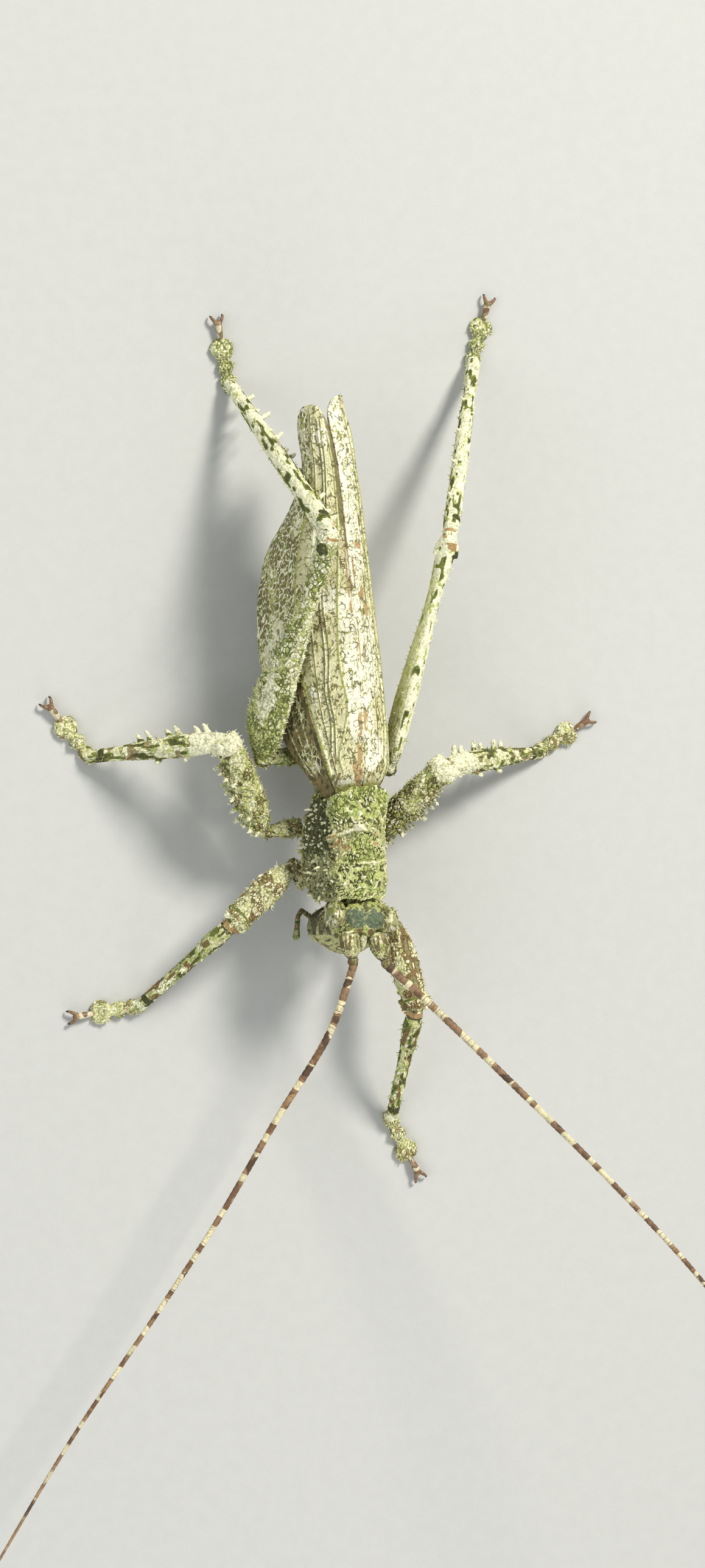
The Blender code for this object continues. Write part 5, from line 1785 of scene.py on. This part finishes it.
# Place, half width, bottom and top of the chest and the belly.
CHEST = (
    (-8.6, 1.25, -2.1, 1.8), (-7.0, 1.6, -2.9, 2.0), (-3.6, 1.72, -3.1, 2.1), (-0.2, 1.8, -3.1, 2.0),
    (2.0, 2.1, -3.25, 2.1), (4.4, 2.2, -3.25, 2.1), (6.6, 2.1, -3.0, 1.8),
)
BELLY = (
    (5.8, 2.0, -2.9, 1.7), (6.6, 2.15, -3.0, 1.8), (9.2, 2.25, -3.1, 1.65), (12.2, 2.1, -2.9, 1.35),
    (15.2, 1.8, -2.6, 0.95), (17.4, 1.3, -2.2, 0.55), (18.7, 0.7, -1.6, 0.1),
)
BELLY_START, BELLY_END = 5.8, 18.7
BELLY_RINGS = 9


def trunk_tube(table, rows, swell=None):
    y = np.linspace(table[0][0], table[-1][0], rows)
    half, low, high = columns(table, y)
    if swell is not None:
        grow = swell(y)
        half, low, high = half * grow, low * grow, high * grow
    return tube(ellipse_rings(joined(0, y, (low + high) / 2), LEFT, UP, half, (high - low) / 2, 44, 2.1))


def belly_ring(y):
    """Where a place lies in its own ring of the belly, from 0 at the front edge to 1 at the rear."""
    return np.mod((y - BELLY_START) / (BELLY_END - BELLY_START) * BELLY_RINGS, 1)


def belly_swell(y):
    """Each ring of the belly widens towards its rear edge and overlaps the next."""
    ring = belly_ring(y)
    return 0.95 + 0.06 * ease(0, 0.3, ring) * ease(1, 0.9, ring)


def build_trunk():
    shapes = [trunk_tube(CHEST, 60), trunk_tube(BELLY, 160, belly_swell)]
    for sign in (1, -1):
        for y, size in ((-7.2, 0.8), (-2.8, 0.9), (2.6, 1.05)):
            shapes.append(ball((sign * 1.45, y, -2.5), (0.75, size, 0.95)))
        for y in (-1.0, 1.0, 3.2, 5.2):
            shapes.append(ball((sign * 1.75, y, -0.6), (0.5, 0.85, 1.5)))
        shapes.append(horn((sign * 0.5, 18.3, -0.2), (sign * 0.95, 20.0, -0.1), 0.22, (0, 0, 0.1), 0.3))
    points, faces, normals = one_skin(shapes, "trunk", 5)
    x, y, z = points.T
    paint, lay, _ = brushes(len(points))
    grain = worms(points, 0.28, 601)
    patch = noise(points, 1.8, 602)
    under = ease(-1.6, -2.6, z)
    lay("green", grain * (0.5 + 0.5 * patch))
    lay("brown", (1 - grain) * (1 - 0.4 * under))
    lay("dark", (1 - grain) * ease(0.45, 0.6, patch) * (1 - under))
    lay("olive", spots(points, 0.9, 603, 0.5, 0.7) * 0.8)
    lay("white", under * grain * 0.8)
    ring = belly_ring(y)
    lay("dark", around(ring, 0.95, 0.07) * (y > 6.2) * 0.9)
    height = grain * 0.06 - around(ring, 0.97, 0.06) * (y > 6.2) * 0.08
    turn = np.arctan2(x, z + 0.6)
    place = joined((y + 8.8) / 30, turn / (2 * math.pi) * WRAP + WRAP / 2)
    spread = moved(points + normals * (height - 0.04)[:, None], TRUNK)
    replaced = ("prothorax", "thorax", "abdomen_front", "abdomen_rear")
    bake = seamless(place, faces, 1, WRAP / 2)
    skin = add_piece(
        "trunk_skin", spread, faces, finish("lichen_skin"), replaced, paint, bake
    )
    keep_roots(skin, 0.25 * grain, (0, 0.5, 0), place)


def build_ovipositor():
    """A blade of two valves that curves up, with a toothed upper edge."""
    path = (
        (18.3, -1.6, -0.3), (20.6, -1.65, -0.45), (22.6, -1.2, -0.1), (24.2, -0.4, 0.35), (25.3, 0.4, 0.75)
    )
    y = np.linspace(18.3, 25.3, 90)
    low, high = columns(path, y)
    teeth = 0.05 * np.abs(np.sin(y * 9)) * ease(22, 24, y)
    shapes = []
    for sign in (1, -1):
        centres = joined(sign * 0.11, y, (low + high) / 2)
        taper = 0.16 * (1 - 0.6 * ease(23, 25.3, y))
        shapes.append(tube(ellipse_rings(centres, LEFT, UP, taper, (high - low) / 2 + teeth, 30, 2.0)))
    points, faces, _ = one_skin(shapes, "ovipositor", 3)
    paint, lay, _ = brushes(len(points))
    lay("brown", 0.4 + 0.5 * noise(points * (1, 0.3, 1), 0.4, 640))
    lay("dark", ease(22.5, 25, points[:, 1]))
    lay("green", ease(20.5, 19, points[:, 1]))
    points = moved(points, TRUNK)
    add_piece("ovipositor_blade", points, faces, finish("claw_horn"), ("ovipositor",), paint)


def build_claws(name):
    """The slender last segment of a foot with its pad and two hooked claws."""
    foot = leg_limbs(name)[-1]
    heading = on_floor(foot.along)
    side = leftward(heading)
    start = on_floor(foot.start) + heading * 3.7
    shapes = [
        horn(start + heading * 1.45 + UP * 0.52, start - heading * 0.1 + UP * 0.34, 0.3, UP * 0.08, 0.62)
    ]
    shapes.append(ball(start + heading * 1.35 + UP * 0.5, (0.3, 0.3, 0.26)))
    shapes.append(ball(start + heading * 1.5 + UP * 0.3, (0.17, 0.17, 0.12)))
    for sign in (1, -1):
        base = start + heading * 1.4 + side * sign * 0.16 + UP * 0.5
        bend = base + heading * 0.5 + side * sign * 0.3 + UP * 0.02
        tip = base + heading * 0.72 + side * sign * 0.34 - UP * 0.4
        shapes.append(horn(base, bend, 0.16, UP * 0.06, 0.75))
        shapes.append(horn(bend - unit(tip - bend) * 0.05, tip, 0.12, heading * 0.04, 0.2))
    points, faces, _ = one_skin(shapes, "claws", 3)
    points[:, 2] = np.maximum(points[:, 2], 0.01)
    reach = (points - start) @ heading
    paint, lay, cover = brushes(len(points))
    lay("olive", spots(points, 0.3, 650))
    lay("brown", spots(points, 0.35, 652, 0.5, 0.62) * 0.8)
    cover("white", spots(points, 0.4, 651, 0.46, 0.56) * ease(1.4, 1.0, reach))
    cover("brown", ease(1.3, 1.7, reach) * 0.8)
    cover("dark", ease(1.75, 2.1, reach))
    add_piece(f"{name}_hooks", points, faces, finish("claw_horn"), (f"{name}_claws",), paint)


# --- stage ---

CAMERA_TARGET = Vector((0.002657, 0.009473, 0.008))
FLOOR_HALF = 0.6
# A hair below the feet, so that their soles show no flicker.
FLOOR_DROP = 0.00002
# Lamps: name, place, size, share of the main lamp's strength and colour.
LAMPS = (
    ("key", (0.26, 0.3, 0.42), 0.14, 1, (1, 0.97, 0.9)),
    ("fill", (-0.4, -0.1, 0.35), 0.4, 0.3, (0.94, 0.98, 1)),
    ("front", (0.05, -0.45, 0.2), 0.3, 0.2, (1, 1, 1)),
)
SKY_COLOUR = (0.95, 1, 1, 1)


def build_camera(settings):
    tilt, roll = settings.camera_tilt, settings.camera_roll
    away = Vector((-math.sin(tilt), 0, math.cos(tilt)))
    level = Vector((math.cos(tilt), 0, math.sin(tilt)))
    ahead = Vector((0, 1, 0))
    right = level * math.cos(roll) - ahead * math.sin(roll)
    up = level * math.sin(roll) + ahead * math.cos(roll)
    camera = placed("camera", bpy.data.cameras.new("camera"))
    camera.data.lens = settings.camera_lens
    camera.data.sensor_width = 36
    camera.data.clip_start = 0.01
    turn = Matrix((right, up, away)).transposed().to_4x4()
    camera.matrix_world = Matrix.Translation(CAMERA_TARGET + away * settings.camera_distance) @ turn
    bpy.context.scene.camera = camera


def build_floor(settings):
    mesh = bpy.data.meshes.new("floor")
    corners = [(x * FLOOR_HALF, y * FLOOR_HALF, 0) for x, y in ((-1, -1), (1, -1), (1, 1), (-1, 1))]
    mesh.from_pydata(corners, [], [(0, 1, 2, 3)])
    material, n = new_material("floor_paper")
    place = n.add("ShaderNodeTexCoord").outputs["Object"]
    grain = n.soft_step(n.grain(place, 900.0), 0.3, 0.7)
    light = Vector(settings.floor_colour)
    n.surface({"Base Color": n.mix(grain, (*(light * 0.97), 1), (*light, 1)), "Roughness": 0.9})
    mesh.materials.append(material)
    floor = placed("floor", mesh)
    floor.location.z = -FLOOR_DROP


def build_lights(settings):
    for name, place, size, share, colour in LAMPS:
        lamp = placed(name, bpy.data.lights.new(name, "AREA"))
        lamp.data.size = size
        lamp.data.energy = settings.key_power * share
        lamp.data.color = colour
        lamp.location = place
        lamp.rotation_euler = (CAMERA_TARGET - Vector(place)).to_track_quat("-Z", "Y").to_euler()
    world = bpy.data.worlds.new("studio")
    world.use_nodes = True
    sky = world.node_tree.nodes["Background"]
    sky.inputs["Color"].default_value = SKY_COLOUR
    sky.inputs["Strength"].default_value = settings.sky_strength
    bpy.context.scene.world = world
    bpy.context.scene.view_settings.view_transform = "Standard"


# --- the add-on ---


def colour_choice(label, tone):
    """A colour of a finish. Until its own is filled in, it is the body's."""
    return bpy.props.FloatVectorProperty(
        name=label,
        description=f"{label} colour",
        subtype="COLOR",
        size=3,
        min=0,
        max=1,
        default=PALETTES["body"][TONES.index(tone)],
    )


class KatydidPalette(bpy.types.PropertyGroup):
    """The colours of one finish."""

    ground: colour_choice("Ground", "ground")
    white: colour_choice("White lichen", "white")
    green: colour_choice("Green lichen", "green")
    olive: colour_choice("Olive", "olive")
    brown: colour_choice("Brown", "brown")
    accent: colour_choice("Accent", "accent")
    dark: colour_choice("Dark", "dark")
    # Painted shade between granules, and a painted highlight on their tops.
    crevice_shade: colour_choice("Crevice", "crevice_shade")
    top: colour_choice("Granule top highlight", "top")


def palette_choice(label):
    return bpy.props.PointerProperty(
        type=KatydidPalette, name=label, description=f"Colours of the {label.lower()}"
    )


class KatydidSettings(bpy.types.PropertyGroup):
    """Sizes and colours of the katydid and its stage."""

    spine_length: bpy.props.FloatProperty(
        name="Spine Length", description="Length of a leg spine", default=0.00027, min=0.00005, unit="LENGTH"
    )
    spine_thickness: bpy.props.FloatProperty(
        name="Spine Thickness",
        description="Radius of a spine at its foot",
        default=0.000045,
        min=0.00001,
        unit="LENGTH",
    )
    spine_density: bpy.props.FloatProperty(
        name="Spine Density", description="Most spines on a square metre of leg", default=1.7e7, min=0
    )
    feeler_radius: bpy.props.FloatProperty(
        name="Feeler Radius",
        description="Radius of a feeler at its base",
        default=0.00032,
        min=0.00005,
        unit="LENGTH",
    )
    ring_length: bpy.props.FloatProperty(
        name="Ring Length",
        description="Length of one ring of a feeler",
        default=0.00046,
        min=0.0001,
        unit="LENGTH",
    )
    wing: palette_choice("Wings")
    body: palette_choice("Body")
    head: palette_choice("Head")
    spine: palette_choice("Spines")
    feeler: palette_choice("Feelers")
    eye: palette_choice("Eyes")
    horn: palette_choice("Claws")
    camera_distance: bpy.props.FloatProperty(
        name="Camera Distance",
        description="From the lens to the trunk",
        default=0.26,
        min=0.05,
        unit="LENGTH",
    )
    camera_tilt: bpy.props.FloatProperty(
        name="Camera Tilt", description="Lean from straight above", default=math.radians(15), subtype="ANGLE"
    )
    camera_roll: bpy.props.FloatProperty(
        name="Camera Roll",
        description="Turn about the line of sight",
        default=math.radians(4.6),
        subtype="ANGLE",
    )
    camera_lens: bpy.props.FloatProperty(name="Lens", description="Focal length in mm", default=78.3, min=10)
    floor_colour: bpy.props.FloatVectorProperty(
        name="Floor",
        description="Colour of the floor",
        subtype="COLOR",
        size=3,
        default=(0.52, 0.52, 0.5),
        min=0,
        max=1,
    )
    key_power: bpy.props.FloatProperty(
        name="Key Light", description="Strength of the main lamp", default=3.6, min=0, unit="POWER"
    )
    sky_strength: bpy.props.FloatProperty(
        name="Sky", description="Strength of the light all round", default=0.38, min=0
    )


class KATYDID_OT_stage(bpy.types.Operator):
    """Make the camera, floor and lights"""

    bl_idname = "katydid.stage"
    bl_label = "Stage"

    def execute(self, context):
        settings = context.scene.katydid
        build_camera(settings)
        build_floor(settings)
        build_lights(settings)
        return {"FINISHED"}


class KATYDID_OT_wings(bpy.types.Operator):
    """Make the two folded forewings with their veins"""

    bl_idname = "katydid.wings"
    bl_label = "Wings"

    def execute(self, context):
        for side in SIDES:
            build_wing(side)
        return {"FINISHED"}


class KATYDID_OT_legs(bpy.types.Operator):
    """Make one skin for each leg, from hip to foot"""

    bl_idname = "katydid.legs"
    bl_label = "Legs"

    def execute(self, context):
        for number, name in enumerate(LEANS):
            build_leg(name, number)
        return {"FINISHED"}


class KATYDID_OT_claws(bpy.types.Operator):
    """Make the claw segment and hooks of each foot"""

    bl_idname = "katydid.claws"
    bl_label = "Claws"

    def execute(self, context):
        for name in LEANS:
            build_claws(name)
        return {"FINISHED"}


class KATYDID_OT_pronotum(bpy.types.Operator):
    """Make the saddle behind the head"""

    bl_idname = "katydid.pronotum"
    bl_label = "Pronotum"

    def execute(self, context):
        build_pronotum()
        return {"FINISHED"}


class KATYDID_OT_head(bpy.types.Operator):
    """Make the head with its face and jaws"""

    bl_idname = "katydid.head"
    bl_label = "Head"

    def execute(self, context):
        build_head()
        return {"FINISHED"}


class KATYDID_OT_eyes(bpy.types.Operator):
    """Make the two eyes"""

    bl_idname = "katydid.eyes"
    bl_label = "Eyes"

    def execute(self, context):
        build_eyes()
        return {"FINISHED"}


class KATYDID_OT_palps(bpy.types.Operator):
    """Make the two palps"""

    bl_idname = "katydid.palps"
    bl_label = "Palps"

    def execute(self, context):
        build_palps()
        return {"FINISHED"}


class KATYDID_OT_antennae(bpy.types.Operator):
    """Make the thick first joints and the long ringed threads of the antennae"""

    bl_idname = "katydid.antennae"
    bl_label = "Antennae"

    def execute(self, context):
        build_antennae()
        return {"FINISHED"}


class KATYDID_OT_trunk(bpy.types.Operator):
    """Make the chest and belly, and the egg-laying blade"""

    bl_idname = "katydid.trunk"
    bl_label = "Trunk"

    def execute(self, context):
        build_trunk()
        build_ovipositor()
        return {"FINISHED"}


class KATYDID_OT_spines(bpy.types.Operator):
    """Grow spines and blunt lobes on the finished skins"""

    bl_idname = "katydid.spines"
    bl_label = "Spines"

    def execute(self, context):
        grow_spines(context.scene.katydid)
        return {"FINISHED"}


OPERATORS = (
    KATYDID_OT_stage,
    KATYDID_OT_trunk,
    KATYDID_OT_wings,
    KATYDID_OT_pronotum,
    KATYDID_OT_head,
    KATYDID_OT_eyes,
    KATYDID_OT_palps,
    KATYDID_OT_antennae,
    KATYDID_OT_legs,
    KATYDID_OT_claws,
    KATYDID_OT_spines,
)


class VIEW3D_PT_katydid(bpy.types.Panel):
    """The katydid's pieces, in the order of making"""

    bl_label = "Lichen Katydid"
    bl_space_type = "VIEW_3D"
    bl_region_type = "UI"
    bl_category = "Katydid"

    def draw(self, context):
        layout, settings = self.layout, context.scene.katydid
        for name in ("spine_length", "spine_thickness", "spine_density", "feeler_radius", "ring_length"):
            layout.prop(settings, name)
        for kind in PALETTES:
            row = layout.row(align=True)
            row.label(text=kind.title())
            for tone in TONES:
                row.prop(getattr(settings, kind), tone, text="")
        for name in ("distance", "tilt", "roll", "lens"):
            layout.prop(settings, f"camera_{name}")
        for name in ("floor_colour", "key_power", "sky_strength"):
            layout.prop(settings, name)
        for operator in OPERATORS:
            layout.operator(operator.bl_idname)


CLASSES = (KatydidPalette, KatydidSettings, *OPERATORS, VIEW3D_PT_katydid)


def register():
    for piece in CLASSES:
        bpy.utils.register_class(piece)
    bpy.types.Scene.katydid = bpy.props.PointerProperty(type=KatydidSettings)


def unregister():
    del bpy.types.Scene.katydid
    for piece in reversed(CLASSES):
        bpy.utils.unregister_class(piece)


def fill_palettes(settings):
    """Gives every finish its own colours."""
    for kind, colours in PALETTES.items():
        for tone, colour in zip(TONES, colours):
            setattr(getattr(settings, kind), tone, colour)


def main():
    register()
    fill_palettes(bpy.context.scene.katydid)
    for operator in OPERATORS:
        getattr(bpy.ops.katydid, operator.bl_idname.split(".")[1])()


if __name__ == "__main__":
    main()
